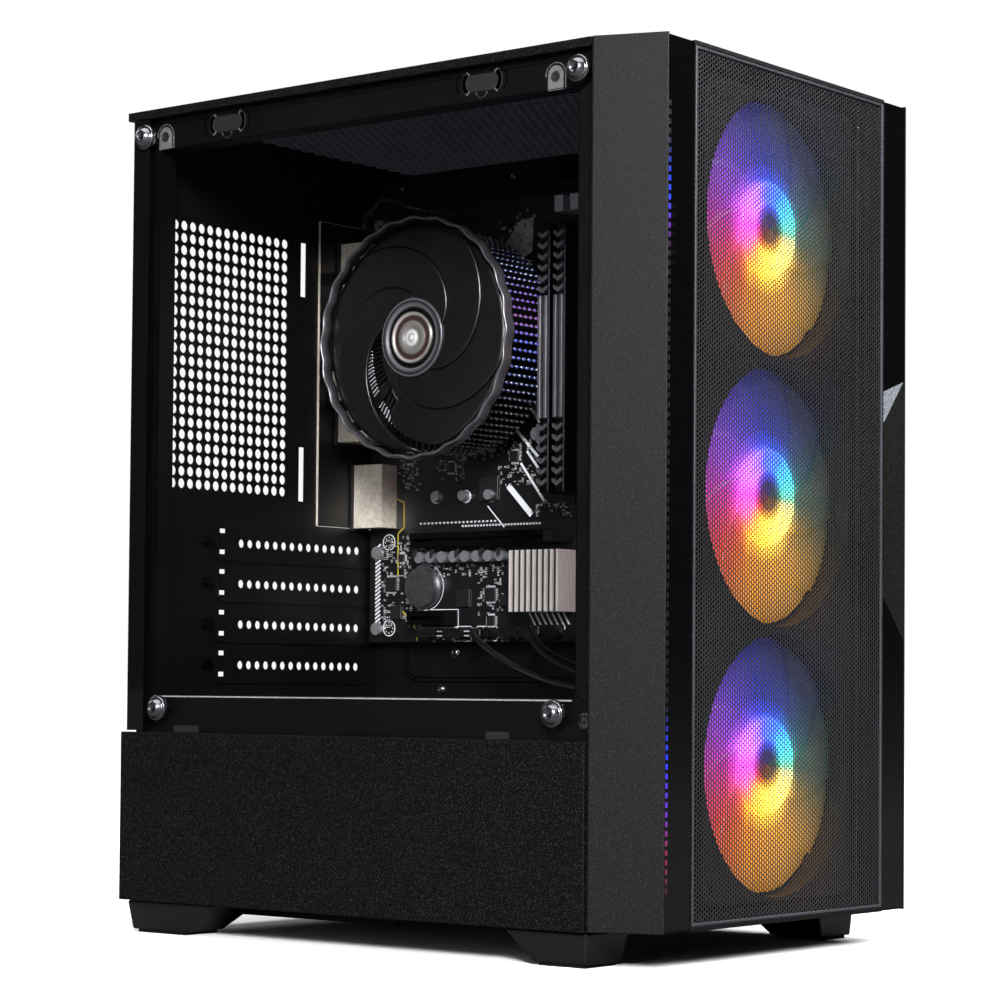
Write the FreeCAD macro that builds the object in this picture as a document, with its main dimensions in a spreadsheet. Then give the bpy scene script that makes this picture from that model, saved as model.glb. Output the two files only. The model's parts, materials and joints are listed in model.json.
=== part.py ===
# Desktop computer tower, millimetres. Front faces -Y, glass side is -X, +Z is up.
# The origin is on the floor, in the middle of the case.
import FreeCAD, Part
import math
import os
import re
import Sketcher
from FreeCAD import Placement, Rotation, Vector

doc = FreeCAD.newDocument("ComputerTower")
sheet = doc.addObject("Spreadsheet::Sheet", "Sizes")

driving_sizes = [
    ("CaseWidth", 220, "over the glass and the right side panel"),
    ("CaseDepth", 312, "front mesh to the rear overhang"),
    ("CaseHeight", 396, "floor to the top cover"),
    ("ChassisWidth", 210, "steel chassis alone"),
    ("FootHeight", 15, "floor to the chassis"),
    ("PadHeight", 1.5, "rubber pad under each foot"),
    ("SheetThick", 1, "folded steel sheet"),
    ("RearInner", 149.5, "inner face of the rear panel"),
    ("FrontInner", -123, "inner face of the front wall"),
    ("TopCoverThick", 4, "top cover"),
    ("ShroudTop", 113.5, "top of the power supply shroud"),
    ("WindowFront", -114, "front edge of the side window"),
    ("WindowRear", 138, "rear edge of the side window"),
    ("WindowTop", 376.5, "top edge of the side window"),
    ("GlassThick", 4, "tempered glass"),
    ("GlassBottom", 96.8, "lower edge of the glass"),
    ("LowerCoverTop", 96, "top of the steel side cover"),
    ("SkinGap", 0.4, "gap beside each panel that comes off"),
    ("BezelDepth", 31.5, "front bezel, front to back"),
    ("BezelChamfer", 12, "how far each cheek leans in"),
    ("MeshHalf", 77.5, "half width of the front mesh"),
    ("MeshThick", 1.2, "perforated front mesh"),
    ("FanSize", 120, "front fan frame"),
    ("FanDepth", 25, "front fan frame"),
    ("FanPitch", 120.5, "one front fan to the next"),
    ("LowFanHeight", 85, "axis of the lowest front fan"),
    ("FanBore", 117.4, "bore of a front fan frame"),
    ("RotorRadius", 57.2, "tip of a front fan blade"),
    ("HubRadius", 21.5, "hub of a front fan"),
    ("TrayPlane", 70, "board side of the motherboard tray"),
    ("BoardFace", 61.5, "component side of the motherboard"),
    ("BoardThick", 1.6, "motherboard laminate"),
    ("BoardBottom", 142, "lower edge of the motherboard"),
    ("BoardHigh", 226, "motherboard, along Z"),
    ("BoardDeep", 190, "motherboard, along Y"),
    ("BoardRear", 147, "rear edge of the motherboard"),
    ("SlotPitch", 20.32, "expansion slot spacing"),
    ("LowSlot", 128.9, "lowest expansion slot"),
    ("CoolerY", 69, "processor axis"),
    ("CoolerZ", 292, "processor axis"),
    ("CoolerRadius", 57, "radial heatsink"),
    ("HolePitch", 6.06, "exhaust grid"),
    ("HoleRadius", 2.45, "exhaust grid"),
    ("PsuWidth", 150, "power supply"),
    ("PsuHeight", 86, "power supply"),
    ("PsuDeep", 140, "power supply"),
    ("PsuBottom", 19.5, "underside of the power supply"),
]
aliases = [alias for alias, value, note in driving_sizes]
for line, (alias, value, note) in enumerate(driving_sizes, start=1):
    sheet.set("A%d" % line, note)
    sheet.set("B%d" % line, str(value))
    sheet.setAlias("B%d" % line, alias)
doc.recompute()

nodes = {}


def size(alias):
    return float(sheet.get(alias))


def bound(value):
    """Writes a number or a formula on the sheet's aliases as an expression."""
    def with_sheet(found):
        word = found.group(0)
        return "Sizes." + word if word in aliases else word
    return re.sub(r"[A-Z][A-Za-z]+", with_sheet, str(value))


def keep(piece, label):
    piece.Label = label
    nodes[label] = piece
    return piece


def place(piece, x, y, z, rotation=None):
    if rotation is not None:
        piece.Placement = Placement(Vector(0, 0, 0), rotation)
    for axis, value in zip("xyz", (x, y, z)):
        piece.setExpression("Placement.Base." + axis, bound(value))
    return piece


def box(name, x, y, z, dx, dy, dz):
    piece = doc.addObject("Part::Box", name)
    piece.setExpression("Length", bound(dx))
    piece.setExpression("Width", bound(dy))
    piece.setExpression("Height", bound(dz))
    return place(piece, x, y, z)


turns = {
    "X": Rotation(Vector(0, 1, 0), 90),
    "Y": Rotation(Vector(1, 0, 0), -90),
    "Z": Rotation(),
}


def rod(name, x, y, z, radius, length, axis):
    piece = doc.addObject("Part::Cylinder", name)
    piece.setExpression("Radius", bound(radius))
    piece.setExpression("Height", bound(length))
    return place(piece, x, y, z, turns[axis])


def cut(name, base, *tools):
    piece = doc.addObject("Part::Cut", name)
    piece.Base = base
    piece.Tool = tools[0] if len(tools) == 1 else fuse(name + "Tools", *tools)
    return piece


def fuse(name, *parts):
    piece = doc.addObject("Part::MultiFuse", name)
    piece.Shapes = list(parts)
    return piece


def group(name, *parts):
    piece = doc.addObject("Part::Compound", name)
    piece.Links = list(parts)
    return piece


def solid(name, shape, x=0, y=0, z=0):
    piece = doc.addObject("Part::Feature", name)
    piece.Shape = shape
    return place(piece, x, y, z)


def plane_of(body, role):
    for feature in body.Origin.OriginFeatures:
        if feature.Role == role:
            return feature


def outline(sketch, u, v, du, dv):
    """Draws one bound rectangle from its low corner."""
    corners = [Vector(0, 0, 0), Vector(10, 0, 0), Vector(10, 10, 0), Vector(0, 10, 0)]
    first = sketch.GeometryCount
    for index in range(4):
        sketch.addGeometry(Part.LineSegment(corners[index], corners[(index + 1) % 4]), False)
    for index in range(4):
        after = first + (index + 1) % 4
        sketch.addConstraint(Sketcher.Constraint("Coincident", first + index, 2, after, 1))
    sketch.addConstraint(Sketcher.Constraint("Horizontal", first))
    sketch.addConstraint(Sketcher.Constraint("Vertical", first + 1))
    sketch.addConstraint(Sketcher.Constraint("Horizontal", first + 2))
    sketch.addConstraint(Sketcher.Constraint("Vertical", first + 3))
    datums = [
        (Sketcher.Constraint("DistanceX", first, 1, first, 2, 10.0), du),
        (Sketcher.Constraint("DistanceY", first + 1, 1, first + 1, 2, 10.0), dv),
        (Sketcher.Constraint("DistanceX", -1, 1, first, 1, 0.0), u),
        (Sketcher.Constraint("DistanceY", -1, 1, first, 1, 0.0), v),
    ]
    for constraint, value in datums:
        index = sketch.addConstraint(constraint)
        sketch.setExpression("Constraints[%d]" % index, bound(value))


def ring(sketch, u, v, radius):
    """Draws one bound circle."""
    first = sketch.GeometryCount
    sketch.addGeometry(Part.Circle(Vector(5, 5, 0), Vector(0, 0, 1), 4), False)
    datums = [
        (Sketcher.Constraint("Radius", first, 4.0), radius),
        (Sketcher.Constraint("DistanceX", -1, 1, first, 3, 5.0), u),
        (Sketcher.Constraint("DistanceY", -1, 1, first, 3, 5.0), v),
    ]
    for constraint, value in datums:
        index = sketch.addConstraint(constraint)
        sketch.setExpression("Constraints[%d]" % index, bound(value))


# local axes of each plane's sketch: XY -> (X, Y), XZ -> (X, Z), YZ -> (Y, Z)
def sheet_body(name, role, low, thick, rectangle, windows=(), rounds=()):
    """A flat plate as a body: one sketch with its openings, and one pad."""
    body = doc.addObject("PartDesign::Body", name)
    sketch = body.newObject("Sketcher::SketchObject", name + "Sketch")
    sketch.AttachmentSupport = [(plane_of(body, role + "_Plane"), "")]
    sketch.MapMode = "FlatFace"
    start = "-(%s) - (%s)" % (low, thick) if role == "XZ" else low
    sketch.setExpression("AttachmentOffset.Base.z", bound(start))
    outline(sketch, *rectangle)
    for window in windows:
        outline(sketch, *window)
    for u, v, radius in rounds:
        ring(sketch, u, v, radius)
    pad = body.newObject("PartDesign::Pad", name + "Pad")
    pad.Profile = sketch
    pad.setExpression("Length", bound(thick))
    body.Tip = pad
    return body


# ---- chassis ----
def make_base_pan():
    plate = sheet_body("PanPlate", "XY", "FootHeight", "SheetThick",
                       ("-ChassisWidth/2 + 1", "FrontInner", "ChassisWidth - 2", "RearInner - FrontInner"),
                       windows=[(-58, 26, 116, 104)])
    left = box("PanLeft", "-ChassisWidth/2 + 1", "FrontInner", "FootHeight + SheetThick",
               "SheetThick", "RearInner - FrontInner", 14)
    right = box("PanRight", "ChassisWidth/2 - 1 - SheetThick", "FrontInner", "FootHeight + SheetThick",
                "SheetThick", "RearInner - FrontInner", 14)
    rails = []
    for side in (-1, 1):
        name = "Left" if side < 0 else "Right"
        wall = "-66.5" if side < 0 else "65"
        lip = "-66.5" if side < 0 else "60.5"
        rails.append(box("RailWall" + name, wall, 18, 8, 1.5, 118, "FootHeight - 8"))
        rails.append(box("RailLip" + name, lip, 18, 8, 6, 118, 1.2))
    keep(fuse("BasePan", plate, left, right, *rails), "base_pan")


def make_feet():
    """Tapered feet: the rear ones lean at both ends, the front ones lean only behind."""
    top = size("FootHeight")
    low = size("PadHeight")
    feet = []
    pads = []
    for side in (-1, 1):
        for y_top, y_low in (((95, 153), (115, 150)), ((-126 + 3.4, -78), (-125 + 3.4, -93))):
            def loop(x_out, x_in, ends, z):
                a, b = ends
                corners = [Vector(side * x_out, a, z), Vector(side * x_in, a, z),
                           Vector(side * x_in, b, z), Vector(side * x_out, b, z)]
                return Part.makePolygon(corners + [corners[0]])
            feet.append(Part.makeLoft([loop(107, 76, y_top, top), loop(106, 80, y_low, low)], True, True))
            low_y, high_y = y_low
            pad = Part.makeBox(22, high_y - low_y - 4, low)
            pad.translate(Vector(side * 93 - 11, low_y + 2, 0))
            pads.append(pad)
    keep(solid("Feet", Part.makeCompound(feet)), "feet")
    keep(solid("FootPads", Part.makeCompound(pads)), "foot_pads")


def slot_height(index):
    return "LowSlot + %d*SlotPitch" % index


def make_rear_panel():
    openings = [(-70, 24, 140, 77), (21.3, 201.5, 45.2, 159)]
    for index in range(4):
        openings.append((-42, slot_height(index) + " - 6.5", 101, 13))
    plate = sheet_body("RearPlate", "XZ", "RearInner", "SheetThick",
                       ("-ChassisWidth/2 + 1", "FootHeight + 1", "ChassisWidth - 2",
                        "CaseHeight - TopCoverThick - FootHeight - 1.5"),
                       windows=openings, rounds=[(98, 60, 2.4), (98, 340, 2.4)])
    pitch = size("HolePitch")
    y = size("RearInner") - 1
    holes = []
    for column in range(15):
        for row in range(22):
            at = Vector(-89 + column * pitch, y, 217.8 + row * pitch)
            holes.append(Part.makeCylinder(size("HoleRadius"), 3, at, Vector(0, 1, 0)))
    for x in (10, -96):
        for z in (211.6, 317.4):
            slot = Part.makeBox(4.5, 3, 28)
            slot.translate(Vector(x - 2.25, y, z + 2))
            holes.append(slot)
    keep(cut("RearPanel", plate, solid("RearHoles", Part.makeCompound(holes))), "rear_panel")


def make_slot_covers():
    """Ventilated covers behind the rear panel, one for each expansion slot."""
    y = size("RearInner")
    covers = []
    for index in range(4):
        z = size("LowSlot") + index * size("SlotPitch")
        plate = Part.makeBox(116, 1, 18.4)
        plate.translate(Vector(-51, y - 1, z - 9.2))
        tab = Part.makeBox(3, 9, 15)
        tab.translate(Vector(-54, y - 9, z - 7.5))
        holes = []
        for column in range(15):
            at = Vector(-34.9 + column * 6.26, y - 2, z)
            holes.append(Part.makeCylinder(2.15, 3, at, Vector(0, 1, 0)))
        covers.append(plate.fuse(tab).cut(Part.makeCompound(holes)))
    keep(solid("SlotCovers", Part.makeCompound(covers)), "slot_covers")


# where the thumbscrews of the glass sit, as distances back and up
glass_screws = [(143.3, 382.8), (-118, 382.8), (130.4, 107.5), (-106.8, 107.5)]


def make_frames():
    """The two side frames, each with lips folded inwards round its window."""
    low = "FootHeight + 1"
    tall = "CaseHeight - TopCoverThick - FootHeight - 1.5"
    deep = "RearInner + SheetThick - FrontInner"
    lip = 9
    window = ("WindowFront", "ShroudTop", "WindowRear - WindowFront", "WindowTop - ShroudTop")
    lower = (-100, 24, 232, 66)
    screws = [(y, z, 2.8) for y, z in glass_screws]
    left = sheet_body("LeftPlate", "YZ", "-ChassisWidth/2", "SheetThick",
                      ("FrontInner", low, deep, tall), windows=[window, lower], rounds=screws)
    inner = "-ChassisWidth/2 + SheetThick"
    lips = [
        box("LeftLipFront", inner, "WindowFront - 1", "ShroudTop", lip, 1, "WindowTop - ShroudTop"),
        box("LeftLipRear", inner, "WindowRear", "ShroudTop", lip, 1, "WindowTop - ShroudTop"),
        box("LeftLipTop", inner, "WindowFront - 1", "WindowTop", lip, "WindowRear - WindowFront + 2", 1),
    ]
    keep(fuse("LeftFrame", left, *lips), "left_frame")
    opening = ("WindowFront", 30, "WindowRear - WindowFront", "WindowTop - 30")
    right = sheet_body("RightPlate", "YZ", "ChassisWidth/2 - SheetThick", "SheetThick",
                       ("FrontInner", low, deep, tall), windows=[opening])
    lip_x = "ChassisWidth/2 - SheetThick - %s" % lip
    lips = [
        box("RightLipTop", lip_x, "WindowFront", "WindowTop", lip, "WindowRear - WindowFront", 1),
        box("RightLipRear", lip_x, "WindowRear", 60, lip, 1, 300),
    ]
    keep(fuse("RightFrame", right, *lips), "right_frame")


def make_tray_and_walls():
    plate = sheet_body("Tray", "YZ", "TrayPlane", "SheetThick",
                       (-110, "ShroudTop", "RearInner + 110", "CaseHeight - TopCoverThick - 3 - ShroudTop"),
                       windows=[(30, 252, 82, 82), (-80, 180, 16, 70), (-80, 285, 16, 60), (-10, 376, 40, 9)])
    keep(plate, "motherboard_tray")
    wall = sheet_body("FrontWall", "XZ", "FrontInner - SheetThick", "SheetThick",
                      ("-ChassisWidth/2", "FootHeight + 1", "ChassisWidth",
                       "CaseHeight - TopCoverThick - FootHeight - 1.5"),
                      windows=[(-50, 30, 100, 351)])
    keep(wall, "front_wall")
    deck = sheet_body("TopDeck", "XY", "CaseHeight - TopCoverThick - 2", "SheetThick",
                      ("-ChassisWidth/2 + 1", "FrontInner", "ChassisWidth - 2", "RearInner - FrontInner"))
    keep(deck, "top_deck")


def make_shroud():
    top = sheet_body("ShroudPlate", "XY", "ShroudTop - SheetThick", "SheetThick",
                     ("-ChassisWidth/2 + 1", -110, "ChassisWidth - 12", "RearInner + 110"),
                     windows=[(20, -62, 40, 34)])
    side = box("ShroudSide", "-ChassisWidth/2 + 1", -102, "FootHeight + 15.5",
               "SheetThick", 228, "ShroudTop - SheetThick - FootHeight - 15.5")
    keep(fuse("PsuShroud", top, side), "psu_shroud")


def make_drive_bay():
    outer = box("CageOuter", -75, -109, "FootHeight + 1", 150, 104, 62)
    inner = box("CageInner", -76, -108, "FootHeight + 2", 152, 102, 60)
    keep(cut("DriveCage", outer, inner), "drive_cage")
    drive = box("DriveBlock", -73.5, -107.8, "FootHeight + 3.5", 147, 101.6, 26.1)
    recess = box("DriveRecess", -60, -95, "FootHeight + 27.6", 105, 76, 3)
    keep(cut("HardDrive", drive, recess), "hard_drive")
    block = doc.addObject("PartDesign::Body", "SolidDrive")
    sketch = block.newObject("Sketcher::SketchObject", "SolidDriveSketch")
    sketch.AttachmentSupport = [(plane_of(block, "YZ_Plane"), "")]
    sketch.MapMode = "FlatFace"
    sketch.setExpression("AttachmentOffset.Base.z", bound("TrayPlane + SheetThick"))
    outline(sketch, -30, 150, 100, 69.9)
    pad = block.newObject("PartDesign::Pad", "SolidDrivePad")
    pad.Profile = sketch
    pad.Length = 7
    doc.recompute()
    edges = []
    for number, edge in enumerate(pad.Shape.Edges, start=1):
        direction = edge.tangentAt(edge.FirstParameter)
        if abs(direction.x) > 0.9:
            edges.append("Edge%d" % number)
    fillet = block.newObject("PartDesign::Fillet", "SolidDriveRound")
    fillet.Base = (pad, edges)
    fillet.Radius = 2.5
    block.Tip = fillet
    keep(block, "solid_state_drive")


# ---- power supply ----
def blades(hub, tip, depth, count, pitch, thick, sweep):
    """Pitched blades round a hub, on +Z, from z = 0 to depth."""
    shapes = [Part.makeCylinder(hub, depth)]
    span = tip - hub + 3
    for index in range(count):
        blade = Part.makeBox(span, thick, depth * 1.25)
        blade.translate(Vector(hub - 2, -thick / 2, -depth * 0.625))
        blade.rotate(Vector(0, 0, 0), Vector(1, 0, 0), pitch)
        blade.rotate(Vector(hub, 0, 0), Vector(0, 0, 1), sweep)
        blade.translate(Vector(0, 0, depth / 2))
        blade.rotate(Vector(0, 0, 0), Vector(0, 0, 1), 360.0 * index / count)
        shapes.append(blade)
    rotor = shapes[0].multiFuse(shapes[1:])
    limit = Part.makeCylinder(tip, depth)
    return rotor.common(limit)


def fan_frame(width, depth, bore, strut_at, boss, mount_pitch, pocket):
    """Square frame with a round bore, four struts and a bearing boss, on +Z."""
    frame = Part.makeBox(width, width, depth)
    frame.translate(Vector(-width / 2, -width / 2, 0))
    corners = []
    for edge in frame.Edges:
        if abs(edge.tangentAt(edge.FirstParameter).z) > 0.9:
            corners.append(edge)
    frame = frame.makeFillet(6, corners)
    frame = frame.cut(Part.makeCylinder(bore / 2, depth))
    holes = []
    for sx in (-1, 1):
        for sy in (-1, 1):
            at = Vector(sx * mount_pitch / 2, sy * mount_pitch / 2, 0)
            holes.append(Part.makeCylinder(2.2, depth, at))
    frame = frame.cut(Part.makeCompound(holes))
    struts = [Part.makeCylinder(boss, 2.5, Vector(0, 0, strut_at))]
    for index in range(4):
        strut = Part.makeBox(bore / 2 + 0.8, 5, 2.5)
        strut.translate(Vector(0, -2.5, strut_at))
        strut.rotate(Vector(0, 0, 0), Vector(0, 0, 1), 38 + 90 * index)
        struts.append(strut)
    pin = Part.makeCylinder(2.5, pocket, Vector(0, 0, strut_at - pocket))
    return frame.multiFuse(struts + [pin])


def bored(rotor, depth, strut_side, reach):
    """Clears the bearing bore of a rotor for the pin of its frame."""
    start = depth - reach if strut_side > 0 else 0
    return rotor.cut(Part.makeCylinder(2.56, reach, Vector(0, 0, start)))


def make_power_supply():
    half = size("PsuWidth") / 2
    low = size("PsuBottom")
    tall = size("PsuHeight")
    deep = size("PsuDeep")
    rear = size("RearInner")
    outer = box("PsuOuter", "-PsuWidth/2", "RearInner - PsuDeep", "PsuBottom", "PsuWidth", "PsuDeep", "PsuHeight")
    inner = box("PsuInner", "-PsuWidth/2 + 1", "RearInner - PsuDeep + 1", "PsuBottom + 1",
                "PsuWidth - 2", "PsuDeep - 2", "PsuHeight - 2")
    intake = rod("PsuIntake", 0, "RearInner - PsuDeep/2", "PsuBottom - 1", 56, 3, "Z")
    inlet = box("PsuInletHole", 30, "RearInner - 2", 50, 28, 4, 22)
    switch = box("PsuSwitchHole", 34, "RearInner - 2", 80, 20, 4, 14)
    vents = []
    for column in range(11):
        for row in range(8):
            x = -62 + column * 8 + (row % 2) * 4
            at = Vector(x, rear - 2, 32 + row * 8)
            vents.append(Part.makeCylinder(2.6, 4, at, Vector(0, 1, 0)))
    outlet = box("PsuLeadHole", 20, "RearInner - PsuDeep - 1", 60, 40, 4, 24)
    holes = solid("PsuVents", Part.makeCompound(vents))
    case = cut("PsuShell", outer, inner, intake, inlet, switch, outlet)
    rings = []
    for radius in (14, 26, 38, 50):
        rings.append(Part.makeTorus(radius, 0.8))
    spokes = []
    for index in range(4):
        spoke = Part.makeCylinder(0.8, 58, Vector(0, 0, 0), Vector(1, 0, 0))
        spoke.rotate(Vector(0, 0, 0), Vector(0, 0, 1), 90 * index + 45)
        spokes.append(spoke)
    wires = rings[0].multiFuse(rings[1:] + spokes)
    grille = solid("PsuGrille", wires, 0, "RearInner - PsuDeep/2", "PsuBottom + 0.8")
    keep(fuse("PsuCase", cut("PsuPierced", case, holes), grille), "psu_case")
    frame = fan_frame(118, 24, 114, 21.5, 18, 105, 8)
    keep(solid("PsuFanFrame", frame, 0, "RearInner - PsuDeep/2", "PsuBottom + 2"), "psu_fan_frame")
    rotor = bored(blades(20, 55.5, 17, 7, 40, 1.6, 0), 17, 1, 10)
    keep(solid("PsuRotor", rotor, 0, "RearInner - PsuDeep/2", "PsuBottom + 6"), "psu_fan_rotor")
    shell = box("InletBlock", 30.2, "RearInner - 22", 50.2, 27.6, 23.5, 21.6)
    socket = box("InletSocket", 32, "RearInner - 17", 53, 24, 20, 16)
    pins = []
    for x, z in ((37.5, 58.5), (50.5, 58.5), (44, 64)):
        pins.append(box("InletPin%d" % len(pins), x - 1, "RearInner - 18", z - 2, 2, 16, 4))
    keep(fuse("PowerInlet", cut("InletShell", shell, socket), *pins), "power_inlet")
    # the rocker is a flat wedge that turns about X through its back
    profile = [Vector(0, -6, -5.6), Vector(0, 0.2, -5.6), Vector(0, 1.0, 0), Vector(0, 2.6, 5.6), Vector(0, -6, 5.6)]
    wedge = Part.Face(Part.makePolygon(profile + [profile[0]])).extrude(Vector(19, 0, 0))
    keep(solid("PsuSwitch", wedge, 34.5, "RearInner", 87), "psu_switch")
    tray = sheet_body("PsuFilter", "XY", 9.6, 2.6, (-64.5, 20, 129, 116))
    keep(tray, "psu_dust_filter")


# ---- motherboard ----
board_holes = [(141, 362), (141, 189), (141, 149), (-16.5, 362), (-16.5, 205.5), (-16.5, 149)]


def on_board(name, y, z, dy, dz, tall):
    """A block on the component side of the board, with its low corner at y, z."""
    return box(name, "BoardFace - (%s)" % tall, y, z, tall, dy, dz)


def make_board():
    rounds = [(y, z, 1.9) for y, z in board_holes]
    board = sheet_body("Board", "YZ", "BoardFace", "BoardThick",
                       ("BoardRear - BoardDeep", "BoardBottom", "BoardDeep", "BoardHigh"), rounds=rounds)
    keep(board, "motherboard")
    posts = []
    heads = []
    for index, (y, z) in enumerate(board_holes):
        post = doc.addObject("Part::Prism", "Post%d" % index)
        post.Polygon = 6
        post.Circumradius = 3.2
        post.setExpression("Height", bound("TrayPlane - BoardFace - BoardThick"))
        place(post, "BoardFace + BoardThick", y, z, turns["X"])
        posts.append(post)
        head = rod("BoardHead%d" % index, "BoardFace - 2.2", y, z, 3.3, 2.2, "X")
        shank = rod("BoardShank%d" % index, "BoardFace - 0.2", y, z, 1.5, 4.2, "X")
        heads.append(fuse("BoardScrew%d" % index, head, shank))
    keep(group("Standoffs", *posts), "board_standoffs")
    keep(group("BoardScrews", *heads), "board_screws")


def make_sockets():
    socket = on_board("SocketFrame", "CoolerY - 25", "CoolerZ - 27", 50, 54, 5)
    opening = on_board("SocketOpening", "CoolerY - 19", "CoolerZ - 19", 38, 38, 6)
    chip = on_board("Processor", "CoolerY - 18.75", "CoolerZ - 18.75", 37.5, 37.5, 6.5)
    keep(group("ProcessorSocket", cut("Socket", socket, opening), chip), "processor_socket")
    slots = []
    sticks = []
    for index in range(2):
        y = 8.6 - 9.6 * index
        body = on_board("DimmBody%d" % index, y - 3.2, 209, 6.4, 145, 8.5)
        groove = box("DimmGroove%d" % index, "BoardFace - 9", y - 0.8, 213.8, 7, 1.6, 134.2)
        slots.append(cut("DimmSlot%d" % index, body, groove))
        board = box("StickBoard%d" % index, "BoardFace - 31.5", y - 0.65, 214.3, 29.5, 1.3, 133.3)
        spreader = box("StickCover%d" % index, "BoardFace - 33", y - 3.0, 217.5, 22.5, 6, 127)
        sticks.append(fuse("Stick%d" % index, board, spreader))
    keep(group("DimmSlots", *slots), "dimm_slots")
    keep(group("MemoryModules", *sticks), "memory_modules")
    latches = []
    for index in range(2):
        y = 8.6 - 9.6 * index
        lever = on_board("LatchLever%d" % index, y - 2.6, 354.6, 5.2, 5, 17)
        tip = on_board("LatchTip%d" % index, y - 2.6, 354.6, 5.2, 8, 19.5)
        foot = on_board("LatchFoot%d" % index, y - 3, 354.3, 6, 8.4, 14)
        lower = on_board("LatchClear%d" % index, y - 4, 350, 8, 14, 2.4)
        latches.append(cut("Latch%d" % index, fuse("LatchBody%d" % index, cut("LatchHead%d" % index, tip, foot), lever),
                           lower))
    keep(group("DimmLatches", *latches), "dimm_latches")
    bars = []
    for name, z, y, long in (("Long", 190.5, 21, 89), ("Short", 150.5, 87, 25)):
        body = on_board(name + "SlotBody", y, z, long, 7.4, 11.2)
        groove = box(name + "SlotGroove", "BoardFace - 12", y + 2, z + 2.9, 9, long - 4, 1.6)
        bars.append(cut(name + "Slot", body, groove))
    keep(group("ExpansionSlots", *bars), "expansion_slots")
    latch = fuse("SlotLatchBody", on_board("SlotLatchStem", 13.5, 191.5, 3, 5.4, 15),
                 box("SlotLatchNose", "BoardFace - 15", 13.5, 191.5, 3, 6.8, 5.4))
    keep(cut("SlotLatch", latch, on_board("SlotLatchClear", 10, 190, 15, 9, 0.9)), "slot_latch")


def make_board_parts():
    base = on_board("ChipsetBase", 10, 156.6, 31, 30.8, 4)
    fins = [base]
    for index in range(9):
        fins.append(box("ChipsetFin%d" % index, "BoardFace - 16", 10 + index * 3.7, 156.6, 12, 1.4, 30.8))
    keep(fuse("ChipsetHeatsink", *fins), "chipset_heatsink")
    cell = rod("Cell", "BoardFace - 5.2", 108.5, 170.4, 10, 3.2, "X")
    holder = rod("CellHolder", "BoardFace - 2", 108.5, 170.4, 11, 2, "X")
    keep(group("CoinCell", cell, holder), "coin_cell")
    parts = []
    for index in range(8):
        y = 107 - index * 7.6
        parts.append(rod("LowCap%d" % index, "BoardFace - 8", y, 185.5, 2.9, 8, "X"))
    for index in range(6):
        parts.append(rod("HighCap%d" % index, "BoardFace - 9", 30, 246 + index * 15, 3.4, 9, "X"))
    for index in range(5):
        parts.append(on_board("Choke%d" % index, 118, 262 + index * 14, 9, 9, 8))
    for index, (y, z, wide) in enumerate(((78, 160, 9), (124, 154, 7), (60, 214, 12), (52, 160, 6))):
        parts.append(on_board("Chip%d" % index, y, z, wide, wide, 1.6))
    for index, (y, z) in enumerate(((100, 217), (82, 217), (65, 217))):
        parts.append(rod("DrivePost%d" % index, "BoardFace - 4", y, z, 2.6, 4, "X"))
    keep(group("BoardComponents", *parts), "board_components")
    sockets = [on_board("PowerSocket", -42, 250, 10, 52, 12), on_board("CpuPowerSocket", 122, 350, 10, 10, 12)]
    for index in range(4):
        sockets.append(on_board("Header%d" % index, 96 - index * 18, 144.2, 12, 4.6, 8.6))
    for index in range(2):
        sockets.append(on_board("DataSocket%d" % index, 18 - index * 22, 144.2, 15, 6, 8.4))
    keep(group("BoardConnectors", *sockets), "board_connectors")


def make_rear_ports():
    """Port shells on the board's rear edge, and the shield they look out of."""
    rear = size("RearInner")
    face = size("BoardFace")
    shells = []
    shield_holes = []
    for name, z, tall, deep, out in (("Audio", 218.2, 33, 20, 12), ("Lan", 254, 16, 21, 25), ("UsbLow", 275, 15, 18, 30),
                                     ("UsbHigh", 296, 15, 18, 30), ("Video", 320, 18, 16, 22), ("Mouse", 343, 14, 15, 24)):
        block = Part.makeBox(out, deep, tall)
        block.translate(Vector(face - out, rear - deep - 0.5, z - tall / 2))
        if name == "Lan":
            mouth = Part.makeBox(12, 15, 11.5)
            mouth.translate(Vector(face - 20, rear - 15, z - 5.75))
        elif name == "Audio":
            mouth = Part.makeCompound([Part.makeCylinder(1.8, 14, Vector(face - 6, rear - 14.5, z + step),
                                                         Vector(0, 1, 0)) for step in (-11, 0, 11)])
        else:
            mouth = Part.makeBox(out - 8, 12, tall - 9)
            mouth.translate(Vector(face - out + 4, rear - 12, z - (tall - 9) / 2))
        shells.append(block.cut(mouth))
        hole = Part.makeBox(out + 0.6, 4, tall + 0.6)
        hole.translate(Vector(face - out - 0.3, rear - 2, z - tall / 2 - 0.3))
        shield_holes.append(hole)
    keep(solid("RearPorts", Part.makeCompound(shells)), "rear_io_ports")
    plate = box("ShieldPlate", 21.5, "RearInner", 201.7, 44.8, 0.6, 158.6)
    keep(cut("IoShield", plate, solid("ShieldHoles", Part.makeCompound(shield_holes))), "io_shield")


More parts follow.
